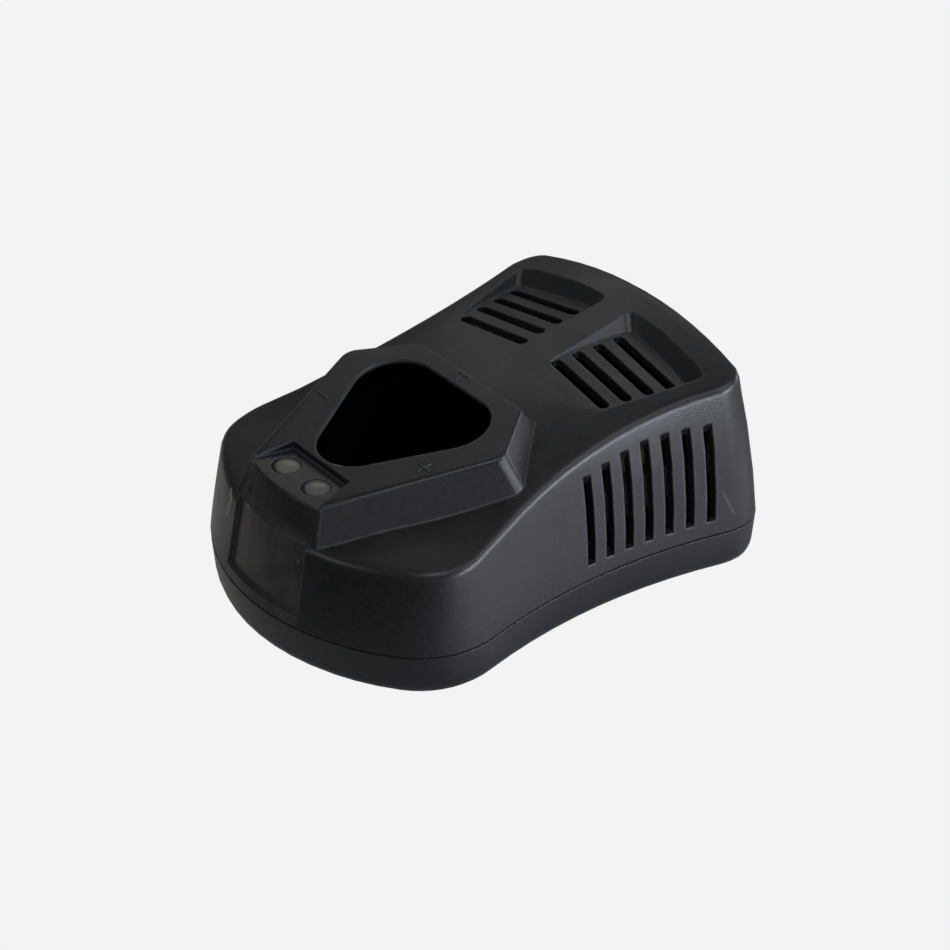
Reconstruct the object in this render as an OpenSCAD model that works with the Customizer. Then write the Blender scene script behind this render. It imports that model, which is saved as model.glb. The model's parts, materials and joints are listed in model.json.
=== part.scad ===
// Desktop charger for a 12 V class stick battery.
// X is the width, the nose with the two lamps points to -Y, Z is up.
// The origin lies on the table, under the middle of the housing.

/* [Housing outline] */
// Length of the housing at the seam between its two shells
body_length = 127.4; // [110:0.1:160]
// Width across the two front corners
front_width = 93.2; // [84:0.1:120]
// Width across the two rear corners
rear_width = 95.6; // [86:0.1:122]
// Radius of the bowed front
nose_radius = 61; // [52:0.5:100]
// Radius of the front corners in plan
front_corner_radius = 22; // [16:0.5:28]
// Radius of the hollow sides
waist_radius = 149; // [110:1:400]
// Radius of the rear corners in plan
rear_corner_radius = 12.5; // [10:0.5:18]
// Radius of the bowed rear
rear_radius = 205; // [120:1:400]

/* [Housing heights] */
// How far the rubber feet stand proud of the base
foot_proud = 0.7; // [0.5:0.1:3]
// Height of the seam above the table
seam_z = 12; // [10:0.1:16]
// Height of the shoulder at the front corners
front_shoulder_z = 31.8; // [28:0.1:38]
// Height of the shoulder at the rear corners
rear_shoulder_z = 48.9; // [44:0.1:60]
// Radius of the long rise of the shoulder, seen from the side
shoulder_rise_radius = 235; // [200:1:400]
// Height of the roof over the origin, on the centre line
roof_z = 46.3; // [46:0.1:50]
// Slope of the roof and of the collar, nose down
roof_tilt = 9.2; // [7:0.1:10.5]

/* [Housing walls] */
// Wall of both shells
wall = 2.2; // [1.8:0.1:3]
// Radius of the edge between wall and roof
edge_radius = 2; // [1:0.1:3]
// Radius of the lower edge of the base
base_edge_radius = 3.2; // [2:0.1:5]
// Draft of the base below the seam, in degrees
base_draft = 4.5; // [0:0.5:6]
// Draft of the hollow sides, in degrees
side_draft = 3; // [2:0.1:8]
// Draft of the bowed front, in degrees
front_draft = 12; // [8:0.1:14]
// Draft of the bowed rear, in degrees
rear_draft = 6; // [6:0.1:14]
// Height of the tongue that locates the shells on each other
tongue_height = 1.6; // [1:0.1:2.5]
// Height of the groove along the seam
seam_groove = 0.4; // [0.2:0.05:0.6]

/* [Collar] */
// Height that the collar walls run down from its flat top
collar_depth = 9; // [8:0.1:10]
// Half width of the collar at its nose
collar_nose_x = 14.3; // [12:0.1:17]
// Distance of the collar's front corners from the front of the body
collar_nose_setback = 10.3; // [9:0.1:14]
// Bow of the collar's front edge
collar_nose_bow = 2.4; // [1:0.1:3]
// Height of the collar's front corners above the front shoulder
collar_rise = 10.3; // [9:0.1:12]
// Width of the collar's top between its front corners and the opening
front_rim = 11; // [10.8:0.1:13]
// Width of the collar's top on either side of the opening
side_rim = 10.4; // [8:0.1:12]
// Width of the collar's top behind the opening
rear_rim = 4.8; // [4:0.1:8]
// Half width of the collar at its rear
collar_rear_x = 19.9; // [17:0.1:25]
// Radius of the collar's upper edges
collar_edge_radius = 1; // [0.5:0.1:1.4]

/* [Battery well] */
// Distance between the centres of two cells of the stick battery
cell_pitch = 20.6; // [19:0.1:22]
// Radius of the opening round each cell
cell_clearance_radius = 10.7; // [10:0.1:11.5]
// Depth of the well below the collar
well_depth = 37; // [34:0.5:38]
// Wall of the well liner
liner_wall = 1.6; // [1.2:0.1:2]
// Gap between the opening in the shell and the liner
liner_step = 0.3; // [0.2:0.1:0.6]

/* [Contacts] */
// Width of a contact leaf
leaf_w = 4.6; // [3:0.1:5]
// Thickness of a contact leaf
leaf_t = 0.5; // [0.4:0.05:0.7]
// How far a leaf reaches into the well
leaf_reach = 1; // [0.6:0.1:1.2]
// Radius of the rolled foot of a leaf
leaf_foot_r = 0.9; // [0.8:0.05:1.1]
// Running clearance round the rolled foot
foot_fit = 0.06; // [0.04:0.01:0.1]

/* [Lamps] */
// Diameter of a lamp lens
lens_d = 6.8; // [5:0.1:7.5]
// Distance between the two lenses
lens_pitch = 12; // [11:0.1:14]
// Clearance round a lens
lens_gap = 0.15; // [0.1:0.05:0.3]
// Distance of the lenses behind the collar's front corners
lens_setback = 4.6; // [4:0.1:5.5]

/* [Vents] */
// Number of vents in each side
side_vents = 7; // [4:1:7]
// Width of a side vent
side_vent_w = 2.5; // [2.2:0.1:3.2]
// Spacing of the side vents
side_vent_pitch = 5.8; // [5.2:0.1:6.4]
// Distance of the last side vent from the rear of the body
side_vent_setback = 23.6; // [21:0.1:28]
// Height of the lower end of the side vents above the seam
side_vent_sill = 4.3; // [3.5:0.1:8]
// Lean of the side vents towards the rear, in degrees
side_vent_lean = 3; // [0:0.5:6]
// Distance of the side vents' peaks below the shoulder
side_vent_drop = 4.5; // [4:0.1:8]
// Number of vents in each roof pocket
roof_vents = 4; // [2:1:4]
// Width of a roof vent
roof_vent_w = 3; // [2:0.1:3.4]
// Spacing of the roof vents
roof_vent_pitch = 6.1; // [5.4:0.05:6.3]

/* [Electronics] */
// Thickness of the circuit board
board_t = 1.6; // [1.2:0.1:2]
// Length of the circuit board
board_length = 44; // [42:0.5:46]
// Gap between the circuit board and the side walls, where the waist is narrowest
board_side_gap = 1.9; // [1:0.1:3]
// Height of the board's underside above the base floor
board_lift = 5; // [4:0.1:7]
// Gap between the board and the rear wall
board_gap = 3.6; // [3:0.1:6]

/* [Fasteners] */
// Outer diameter of the housing screws' thread
screw_d = 3; // [2.9:0.1:3.5]
// Diameter of the screw posts
post_d = 7; // [6.5:0.1:8]

/* [Hidden] */
$fn = 48;

black_plastic = "#26272b";
dark_liner = "#101112";
contact_metal = "#c8b070";
board_green = "#2c5a38";

front_y = -body_length / 2;
rear_y = body_length / 2;
base_z = foot_proud;
floor_z = base_z + wall;
board_z = floor_z + board_lift;
board_top = board_z + board_t;

// ---- Plan outline: five tangent arcs from the front centre to the rear centre, +X side.
// Each arc is [centre, radius, start angle, end angle, steps, outward sign].
nose_c = [0, front_y + nose_radius];
corner_x = front_width / 2 - front_corner_radius;
corner_c = [corner_x,
  nose_c.y - sqrt(pow(nose_radius - front_corner_radius, 2) - corner_x * corner_x)];
tail_c = [0, rear_y - rear_radius];
hip_x = rear_width / 2 - rear_corner_radius;
hip_c = [hip_x,
  tail_c.y + sqrt(pow(rear_radius - rear_corner_radius, 2) - hip_x * hip_x)];

// Centre of the circle that touches two others from outside, on their +X side
function outside_centre(a, ra, b, rb) =
  let (d = norm(b - a), along = (ra * ra - rb * rb + d * d) / (2 * d),
    u = (b - a) / d, side = sqrt(ra * ra - along * along))
  a + u * along + [u.y, -u.x] * side;

waist_c = outside_centre(corner_c, waist_radius + front_corner_radius,
  hip_c, waist_radius + rear_corner_radius);

function angle_of(v) = atan2(v.y, v.x);
a_nose = angle_of(corner_c - nose_c);
a_front = angle_of(waist_c - corner_c);
a_back = angle_of(waist_c - hip_c);
a_tail = angle_of(hip_c - tail_c);

ARCS = [
  [nose_c, nose_radius, -90, a_nose, 7, 1],
  [corner_c, front_corner_radius, a_nose, a_front, 9, 1],
  [waist_c, waist_radius, a_front + 180, a_back + 180, 10, -1],
  [hip_c, rear_corner_radius, a_back, a_tail, 8, 1],
  [tail_c, rear_radius, a_tail, 90, 6, 1]
];

// A station of the outline is [x, y, outward x, outward y]
function on_arc(arc, t) =
  let (a = arc[2] + (arc[3] - arc[2]) * t, n = [cos(a), sin(a)], p = arc[0] + n * arc[1])
  [p.x, p.y, n.x * arc[5], n.y * arc[5]];
RIGHT = concat(
  [for (arc = ARCS) for (i = [0:arc[4] - 1]) on_arc(arc, i / arc[4])],
  [on_arc(ARCS[4], 1)]
);
HALF = len(RIGHT) - 1;
STATIONS = concat(RIGHT,
  [for (i = [HALF - 1:-1:1]) [-RIGHT[i][0], RIGHT[i][1], -RIGHT[i][2], RIGHT[i][3]]]);
N = len(STATIONS);

// ---- Walls: each station leans in as it rises, most at the front and the rear.
side_swell = 0.0041;
front_swell = -0.001;
rear_swell = 0.001;
function lean(s, z) =
  let (h = z - seam_z, f = s[3] < 0 ? s[3] * s[3] : 0, r = s[3] > 0 ? s[3] * s[3] : 0,
    q = 1 - f - r,
    slope = q * tan(side_draft) + f * tan(front_draft) + r * tan(rear_draft))
  h * slope + h * h * (q * side_swell + f * front_swell + r * rear_swell);
function wall_xy(s, z, inset) =
  let (d = lean(s, z) + inset) [s[0] - s[2] * d, s[1] - s[3] * d];

// ---- Roof: edge_z is the height of the shoulder along the body, ridge_z that of the centre line.
shoulder_from = front_y + 8.5;
shoulder_to = rear_y - 8.7;
rise = rear_shoulder_z - front_shoulder_z;
rise_k = 1 / (2 * shoulder_rise_radius);
rise_run = rise / (rise_k * (shoulder_to - shoulder_from));
rise_knee = shoulder_to - rise_run;
hollow_k = rise_k * rise_run / (rise_knee - shoulder_from);
function edge_z(y) =
  y < shoulder_from ? front_shoulder_z
  : y < rise_knee ? front_shoulder_z + hollow_k * pow(y - shoulder_from, 2)
  : y < shoulder_to ? rear_shoulder_z - rise_k * pow(shoulder_to - y, 2)
  : rear_shoulder_z;
crown = roof_z - edge_z(0);
crown_run = 25;
function ridge_z(y) =
  y < 0
  ? edge_z(y) + crown * max(0.1, min(1, (y - front_y + 2) / crown_run))
  : roof_z + tan(roof_tilt) * y;
waist_half = waist_c.x - waist_radius - 4.5;
function shoulder_x(y) = waist_half + 0.0031 * pow(y - 10, 2);
function roof(x, y) = ridge_z(y) - (ridge_z(y) - edge_z(y)) * pow(x / shoulder_x(y), 2);

// Where wall and roof of a station meet, for a skin inset and dropped by t
function shoulder(s, t) =
  let (p1 = wall_xy(s, edge_z(s[1]) - t, t), z1 = roof(p1.x, p1.y) - t,
    p2 = wall_xy(s, z1, t), z2 = roof(p2.x, p2.y) - t, p3 = wall_xy(s, z2, t))
  [p3.x, p3.y, roof(p3.x, p3.y) - t];
// A point on the roof, from the shoulder at g = 0 to the centre line at g = 1
spine_end = body_length * 0.36;
function spine_y(i) = -spine_end + 2 * spine_end * i / HALF;
function roof_point(s, i, g, t) =
  let (p = shoulder(s, t), x = p.x * (1 - g), y = p.y * (1 - g) + spine_y(i) * g)
  [x, y, roof(x, y) - t];
function spine(t) = [for (i = [0:HALF]) [0, spine_y(i), roof(0, spine_y(i)) - t]];
function half_index(i) = i <= HALF ? i : N - i;

function wall_ring(z, inset) = [for (s = STATIONS) let (p = wall_xy(s, z, inset)) [p.x, p.y, z]];
// Ring part way up the wall, from z0 at f = 0 to the lower end of the edge rounding at f = 1
function rising_ring(f, z0, t, back) =
  [for (s = STATIONS)
    let (top = shoulder(s, t).z - back, z = z0 + (top - z0) * f, p = wall_xy(s, z, t))
    [p.x, p.y, z]];
function roof_ring(g, t) =
  [for (i = [0:N - 1]) roof_point(STATIONS[i], half_index(i), g, t)];
// Ring on the rounding between wall and roof, u from 0 on the wall to 1 on the roof
function edge_ring(u, t, r) =
  [for (i = [0:N - 1])
    let (s = STATIONS[i], q = shoulder(s, t), zw = q.z - r, w = wall_xy(s, zw, t),
      reach = norm([q.x, q.y - spine_y(half_index(i))]),
      e = roof_point(s, half_index(i), r / reach, t))
    [w.x, w.y, zw] * pow(1 - u, 2) + q * 2 * u * (1 - u) + e * u * u];

// Faces of the band between ring a and ring a + 1, rings counted from the outside bottom
function band(a) =
  [for (i = [0:N - 1])
    let (j = (i + 1) % N, p = a * N + i, q = a * N + j)
    each [[p, p + N, q], [q, p + N, q + N]]];
// Faces from ring a to the spine points that start at index b
function to_spine(a, b) =
  [for (i = [0:N - 1])
    let (j = (i + 1) % N, p = a * N + i, q = a * N + j,
      u = b + half_index(i), v = b + half_index(j))
    each [[p, u, q], [q, u, v]]];
function flipped(faces) = [for (f = faces) [f[0], f[2], f[1]]];

rebate = wall / 2;
tongue_gap = 0.15;
groove_depth = 0.5;
function base_ring(z, inset) = [for (s = STATIONS)
  let (d = inset + max(0, seam_z - z) * tan(base_draft)) [s[0] - s[2] * d, s[1] - s[3] * d, z]];
module skin() {
  inner = [
    spine(wall), roof_ring(0.75, wall), roof_ring(0.45, wall), roof_ring(0.2, wall),
    roof_ring(0, wall), rising_ring(0.66, seam_z, wall, 0), rising_ring(0.33, seam_z, wall, 0),
    wall_ring(seam_z + tongue_height + 0.3, wall)
  ];
  outer = [
    base_ring(seam_z + tongue_height + 0.3, rebate), base_ring(seam_z, rebate),
    wall_ring(seam_z, groove_depth), wall_ring(seam_z + seam_groove, groove_depth),
    wall_ring(seam_z + seam_groove, 0), rising_ring(0.33, seam_z, 0, edge_radius),
    rising_ring(0.66, seam_z, 0, edge_radius), edge_ring(0, 0, edge_radius),
    edge_ring(0.35, 0, edge_radius), edge_ring(0.65, 0, edge_radius),
    edge_ring(1, 0, edge_radius), roof_ring(0.2, 0), roof_ring(0.45, 0), roof_ring(0.75, 0)
  ];
  rings = concat([for (k = [1:len(inner) - 1]) inner[k]], outer);
  points = concat([for (r = rings) each r], inner[0], spine(0));
  last = len(rings) - 1;
  inner_spine = len(rings) * N;
  polyhedron(
    points,
    concat(
      [for (a = [0:last - 1]) each band(a)],
      flipped(to_spine(0, inner_spine)),
      to_spine(last, inner_spine + HALF + 1)
    ),
    convexity = 10
  );
}

// ---- Collar: a six-sided tower with a flat sloping top, set in from the roof
tilt = roof_tilt;
nose_y = front_y + collar_nose_setback;
function collar_plane(y) = front_shoulder_z + collar_rise + tan(tilt) * (y - nose_y);
triangle_r = cell_pitch / sqrt(3);
well_y = nose_y + front_rim + triangle_r + cell_clearance_radius;
well_z = collar_plane(well_y);
collar_wide_x = cell_pitch / 2 + cell_clearance_radius + side_rim;
wide_y = well_y + 6.9;
collar_rear_y = well_y + triangle_r / 2 + cell_clearance_radius + rear_rim;

// Round one corner of a polygon with an arc of the given steps
function rounded(a, b, c, r, steps) =
  let (u = (a - b) / norm(a - b), v = (c - b) / norm(c - b), h = acos(u * v) / 2,
    m = b + (u + v) / norm(u + v) * r / sin(h), from = b + u * r / tan(h) - m,
    to = b + v * r / tan(h) - m, a0 = angle_of(from), raw = angle_of(to) - a0,
    turn = raw > 180 ? raw - 360 : raw < -180 ? raw + 360 : raw)
  [for (k = [0:steps]) m + r * [cos(a0 + turn * k / steps), sin(a0 + turn * k / steps)]];
function bowed_edge(x, y, bow, steps) =
  [for (k = [0:steps]) let (t = -1 + 2 * k / steps) [x * t, y - bow * (1 - t * t)]];
function collar_outline(nose, bow, wide, rear, grow) =
  let (n = nose + [grow, -grow], w = wide + [grow * 1.1, 0], r = rear + [grow * 0.7, grow])
  concat(
    bowed_edge(n.x, n.y, bow, 8),
    rounded(n, w, r, 4, 5),
    rounded(w, r, [-r.x, r.y], 2, 3),
    rounded(r, [-r.x, r.y], [-w.x, w.y], 2, 3),
    rounded([-r.x, r.y], [-w.x, w.y], [-n.x, n.y], 4, 5)
  );
nose = [collar_nose_x, nose_y];
wide = [collar_wide_x, wide_y];
rear = [collar_rear_x, collar_rear_y];
nose_foot = nose + [2.1, -3.2];
wide_foot = wide + [4.4, 1.9];
rear_foot = rear + [1.6, 5.4];
COLLAR_EDGE = [0, 30, 60, 90];
function collar_level(outline, depth) = [for (p = outline) [p.x, p.y, collar_plane(p.y) - depth]];
module collar_form(grow, top, bottom) {
  lower = collar_outline(nose_foot, collar_nose_bow / 2, wide_foot, rear_foot, grow);
  r = collar_edge_radius;
  rings = concat(
    [collar_level(lower, bottom), collar_level(lower, collar_depth)],
    [for (a = COLLAR_EDGE)
      let (rim = collar_outline(nose, collar_nose_bow, wide, rear, grow - r * (1 - cos(a))))
      collar_level(rim, top + r * (1 - sin(a)))]
  );
  m = len(lower);
  last = len(rings) - 1;
  polyhedron(
    [for (r = rings) each r],
    concat(
      [[for (i = [0:m - 1]) i]],
      [for (a = [0:last - 1]) for (i = [0:m - 1])
        let (p = a * m + i, q = a * m + (i + 1) % m)
        each [[p, p + m, q], [q, p + m, q + m]]],
      [[for (i = [m - 1:-1:0]) last * m + i]]
    ),
    convexity = 4
  );
}

// ---- Battery well: a rounded triangle with its point to the nose, square to the collar's top
liner_r = cell_clearance_radius + liner_step;
side_reach = triangle_r / 2 + liner_r;
module at_collar() {
  translate([0, well_y, well_z]) rotate([tilt, 0, 0]) children();
}
module well_outline(r) {
  corners = [for (a = [-90, 30, 150]) triangle_r * [cos(a), sin(a)]];
  union() {
    for (c = corners) translate(c) circle(r);
    for (a = [30, 150, 270])
      rotate(a - 180) translate([0, -cell_pitch / 2]) square([triangle_r / 2 + r, cell_pitch]);
    polygon(corners);
  }
}
module well_prism(r, from, to) {
  translate([0, 0, from]) linear_extrude(to - from) well_outline(r);
}

// ---- Roof pockets with their vents, the right one; the left one is its mirror image
pocket_front_y = rear_y - 50.5;
pocket_mid_x = 17;
pocket_front_z = roof(pocket_mid_x, pocket_front_y) - 0.1;
// The floor leaves the roof at the front, levels out towards the rear and falls to the outside
function pocket_floor(x, y) =
  let (t = y - pocket_front_y)
  pocket_front_z + (tan(roof_tilt) - 0.05) * t - 0.0021 * t * t
  - (0.06 + 0.0026 * t) * (x - pocket_mid_x);
// Everything under the floor of a pocket, lowered by drop
bed_steps = 12;
bed_half = 20;
module pocket_bed(drop) {
  ys = [for (i = [0:bed_steps]) pocket_front_y - 5 + 46 * i / bed_steps];
  function row(x) = [for (y = ys) [x, y, pocket_floor(x, y) - drop]];
  function below(x) = [for (y = [ys[0], ys[bed_steps]]) [x, y, pocket_front_z - 12]];
  n = bed_steps + 1;
  c = 2 * n;
  polyhedron(
    concat(row(0), row(2 * bed_half), below(0), below(2 * bed_half)),
    concat(
      [for (i = [0:n - 2]) each [[i, i + 1, n + i], [n + i, i + 1, n + i + 1]]],
      [[for (i = [n - 1:-1:0]) i, c, c + 1], [for (i = [0:n - 1]) n + i, c + 3, c + 2]],
      [[0, n, c + 2, c], [2 * n - 1, n - 1, c + 1, c + 3], [c, c + 2, c + 3, c + 1]]
    )
  );
}
// Plan of a pocket at height h above its floor, grown outwards by d; its walls flare as they rise
inner_flare = 1.1;
outer_flare = 0.75;
rear_flare = [0.7, 0.86];
function pocket_plan(h, d) =
  let (y0 = pocket_front_y - 3 - d,
    a = [5.2 - inner_flare * h - d, y0],
    b = [25.8 + outer_flare * h + d, y0],
    c = [32.3 + outer_flare * h + d, rear_y - 21 + rear_flare[1] * h + d],
    e = [7.4 - inner_flare * h - d, rear_y - 17.3 + rear_flare[0] * h + d],
    mid = (c + e) / 2 + [0, 0.5])
  concat([a, b], rounded(b, c, mid, 1.5, 4), [mid], rounded(mid, e, a, 2.6, 5));
// Solid over the plan of a pocket, from low at its floor up to the function high
module pocket_solid(low, high, h, d) {
  mid = [pocket_mid_x, pocket_front_y + 17];
  bottom = [for (p = pocket_plan(low, d)) [p.x, p.y, pocket_floor(p.x, p.y) + low]];
  top = [for (p = pocket_plan(h, d)) [p.x, p.y, high(p)]];
  m = len(top);
  polyhedron(
    concat(bottom, top, [[mid.x, mid.y, pocket_floor(mid.x, mid.y) + low - 2]],
      [[mid.x, mid.y, high(mid)]]),
    concat(
      [for (i = [0:m - 1]) let (j = (i + 1) % m)
        each [[i, j, 2 * m], [m + j, m + i, 2 * m + 1], [i, m + i, j], [j, m + i, m + j]]]
    ),
    convexity = 4
  );
}
pocket_cut_h = 7;
pocket_pan_h = 4.2;
pan_growth = 2.7;
module pocket_cut() {
  difference() {
    pocket_solid(-0.5, function (p) pocket_floor(p.x, p.y) + pocket_cut_h, pocket_cut_h, 0);
    pocket_bed(0);
  }
}
module pocket_pan() {
  difference() {
    pocket_solid(
      -wall - 0.5, function (p) min(roof(p.x, p.y) - 0.4, pocket_floor(p.x, p.y) + pocket_pan_h),
      pocket_pan_h, pan_growth
    );
    pocket_bed(wall);
  }
}
// The vents fan out towards the rear and slant a little
module roof_vent(k) {
  y = pocket_front_y + 9.7 + k * roof_vent_pitch;
  x0 = 6.8 + 0.65 * k;
  x1 = 26.4 + 1.1 * k;
  slant = 2;
  length = norm([x1 - x0, slant]);
  translate([x0, y, pocket_floor(pocket_mid_x, y) - 6]) rotate(-atan2(slant, x1 - x0)) {
    linear_extrude(12) union() {
      circle(d = roof_vent_w);
      translate([length, 0]) circle(d = roof_vent_w);
      translate([0, -roof_vent_w / 2]) square([length, roof_vent_w]);
    }
  }
}

// ---- Side vents, right side: upright grooves that run out at a peak and break through lower down
vent_sill_z = seam_z + side_vent_sill;
vent_ramp_angle = 22;
vent_reach = 0.8;
side_vent_y = [for (k = [0:side_vents - 1]) rear_y - side_vent_setback - k * side_vent_pitch];
// The peaks follow the shoulder and fall away from it towards the rear
vent_fall_y = rear_y - 39.7;
function vent_peak(y) = edge_z(y) - side_vent_drop - 0.15 * max(0, y - vent_fall_y);
// Outer half width of the seam at the side, near y, and of the wall above it
function waist_x(y) = waist_c.x - sqrt(waist_radius * waist_radius - pow(y - waist_c.y, 2));
function side_x(y, z) = waist_x(y) - lean([0, y, 1, 0], z);
// From its peak the groove's bed slopes in until it has passed through the wall
module side_vent(y) {
  peak = vent_peak(y);
  x = side_x(y, peak);
  through = wall + vent_reach;
  far = x + 10;
  height = peak - vent_sill_z;
  translate([0, y, vent_sill_z]) rotate([-side_vent_lean, 0, 0]) translate([0, side_vent_w / 2, 0])
    rotate([90, 0, 0]) linear_extrude(side_vent_w) polygon([
      [far, 0], [far, height], [x, height],
      [x - through, height - through / tan(vent_ramp_angle)], [x - through, 0]
    ]);
}

// ---- Nose: the recess for the lamps and the sunk panel in the front
lens_y = nose_y + lens_setback;
lamp_floor_z = collar_plane(nose_y) - 0.35;
lamp_back_y = nose_y + 10.5;
lamp_front_x = collar_nose_x - 1;
lamp_back_x = 11.3;
module lamp_recess() {
  right = [[lamp_front_x, nose_y - 4], [lamp_front_x, nose_y], [lamp_back_x, lamp_back_y]];
  left = [for (i = [2:-1:0]) [-right[i].x, right[i].y]];
  translate([0, 0, lamp_floor_z]) linear_extrude(9) polygon(concat(right, left));
}
lamp_pan_t = 1.8;
lamp_pan_margin = 1.6;
module lamp_pan() {
  x = lamp_back_x + lamp_pan_margin;
  translate([-x, nose_y, lamp_floor_z - lamp_pan_t])
    cube([2 * x, lamp_back_y + lamp_pan_margin - nose_y, lamp_pan_t + 0.8]);
}
panel_depth = 1.1;
panel_z = [seam_z + 3, collar_plane(nose_y) - 7.4];
panel_half = 14.6;
// The sunk panel is cut back from the front wall, parallel to it
module front_panel_cut() {
  a = acos(panel_half / nose_radius);
  steps = 8;
  spread = [for (k = [0:steps]) -90 + (90 - a) * (1 - 2 * k / steps)];
  arc = [for (t = spread) [cos(t), sin(t)]];
  levels = [panel_z[0], panel_z[1]];
  function curve(z, d) =
    let (r = nose_radius - lean([0, 0, 0, -1], z) - d) [for (n = arc) [r * n.x, nose_c.y + r * n.y, z]];
  inner = [for (z = levels) curve(z, panel_depth)];
  outer = [for (z = levels) curve(z, -3)];
  m = steps + 1;
  polyhedron(
    concat(inner[0], inner[1], outer[0], outer[1]),
    concat(
      [for (i = [0:m - 2]) each [
        [i, m + i, i + 1], [i + 1, m + i, m + i + 1],
        [2 * m + i, 2 * m + i + 1, 3 * m + i], [2 * m + i + 1, 3 * m + i + 1, 3 * m + i],
        [i, i + 1, 2 * m + i], [i + 1, 2 * m + i + 1, 2 * m + i],
        [m + i, 3 * m + i, m + i + 1], [m + i + 1, 3 * m + i, 3 * m + i + 1]
      ]],
      [[0, 2 * m, 3 * m, m], [m - 1, 2 * m - 1, 4 * m - 1, 3 * m - 1]]
    ),
    convexity = 4
  );
}

// ---- Screw posts: the top shell's posts stand on the base's stubs
front_post = [corner_c.x + 8.5, corner_c.y - 1];
rear_post = [hip_c.x - 1, hip_c.y + 1];
POSTS = [for (p = [front_post, rear_post]) for (m = [1, -1]) [p.x * m, p.y]];
post_joint_z = seam_z - 3;
pilot_d = screw_d - 0.5;
screw_clear_d = screw_d + 0.4;
screw_head_d = screw_d * 1.9;
screw_head_z = base_z + 3.2;
screw_length = 13;
stub_d = post_d + 1;

// ---- Mains inlet: a two-pin socket that stands on the board and looks out of the rear wall
inlet_w = 19;
inlet_h = 11.4;
inlet_d = 19;
inlet_gap = 0.3;
inlet_z = board_top;
inlet_face_y = rear_y - 2.2;
pin_pitch = 8.6;
pin_d = 2.4;
socket_z = inlet_z + inlet_h / 2;

post_from_z = base_z + 0.5;
module base_shell() {
  lower = concat(
    [for (a = [0, 30, 60, 90]) base_ring(
      base_z + base_edge_radius * (1 - cos(a)), base_edge_radius * (1 - sin(a)))],
    [
      base_ring(seam_z, 0), base_ring(seam_z, rebate + tongue_gap),
      base_ring(seam_z + tongue_height, rebate + tongue_gap + 0.05),
      base_ring(seam_z + tongue_height, wall), base_ring(floor_z + 2.5, wall),
      base_ring(floor_z, wall + 2.5)
    ]
  );
  last = len(lower) - 1;
  color(black_plastic) difference() {
    union() {
      polyhedron(
        [for (r = lower) each r],
        concat(
          [[for (i = [0:N - 1]) i]],
          [for (a = [0:last - 1]) each band(a)],
          [[for (i = [0:N - 1]) last * N + (N - i) % N]]
        ),
        convexity = 6
      );
      for (p = POSTS) translate([p.x, p.y, post_from_z])
        cylinder(d = stub_d, h = post_joint_z - post_from_z);
      for (p = BOARD_POSTS) translate([p.x, p.y, post_from_z]) cylinder(d = 6, h = board_z - post_from_z);
      for (y = FLOOR_RIBS) translate([-rib_half, y, base_z + 0.5]) cube([2 * rib_half, 1.4, wall + 1]);
    }
    for (p = POSTS) translate([p.x, p.y, base_z - 1]) {
      cylinder(d = screw_clear_d, h = 30);
      cylinder(d = screw_head_d + 0.6, h = screw_head_z - base_z + 1);
    }
    for (p = BOARD_POSTS) translate([p.x, p.y, floor_z]) cylinder(d = board_pilot_d, h = 20);
    for (p = FEET) translate([p.x, p.y, base_z - 1]) cylinder(d = foot_d + 0.2, h = 1 + foot_seat);
    floor_vents();
    inlet_cut();
  }
}

// ---- Board seats, feet and floor vents
board_rear_y = rear_y - wall - board_gap;
board_front_y = board_rear_y - board_length;
board_narrow_y = max(board_front_y, min(board_rear_y, waist_c.y));
board_half = waist_x(board_narrow_y) - wall - (seam_z - board_z) * tan(base_draft) - board_side_gap;
BOARD_POSTS = [for (x = [-1, 1]) for (y = [3.6, 26.1]) [x * (board_half - 3), board_front_y + y]];
board_pilot_d = 2;
board_screw_d = 2.5;
rib_half = 20;
FLOOR_RIBS = [front_y + 24, front_y + 48];
foot_d = 10;
foot_seat = 0.8;
FEET = [for (x = [-1, 1]) for (e = [[corner_c.x + 2.5, corner_c.y - 9], [hip_c.x - 12, hip_c.y + 4]])
  [x * e.x, e.y]];
floor_vent_w = 2.6;
module floor_vents() {
  for (k = [-2:2]) translate([k * 7, board_front_y + 9, base_z - 1]) long_slot(floor_vent_w, 22, wall + 3);
}
// A slot with round ends along Y
module long_slot(w, length, height) {
  linear_extrude(height) union() {
    translate([-w / 2, 0]) square([w, length]);
    circle(d = w);
    translate([0, length]) circle(d = w);
  }
}

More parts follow.
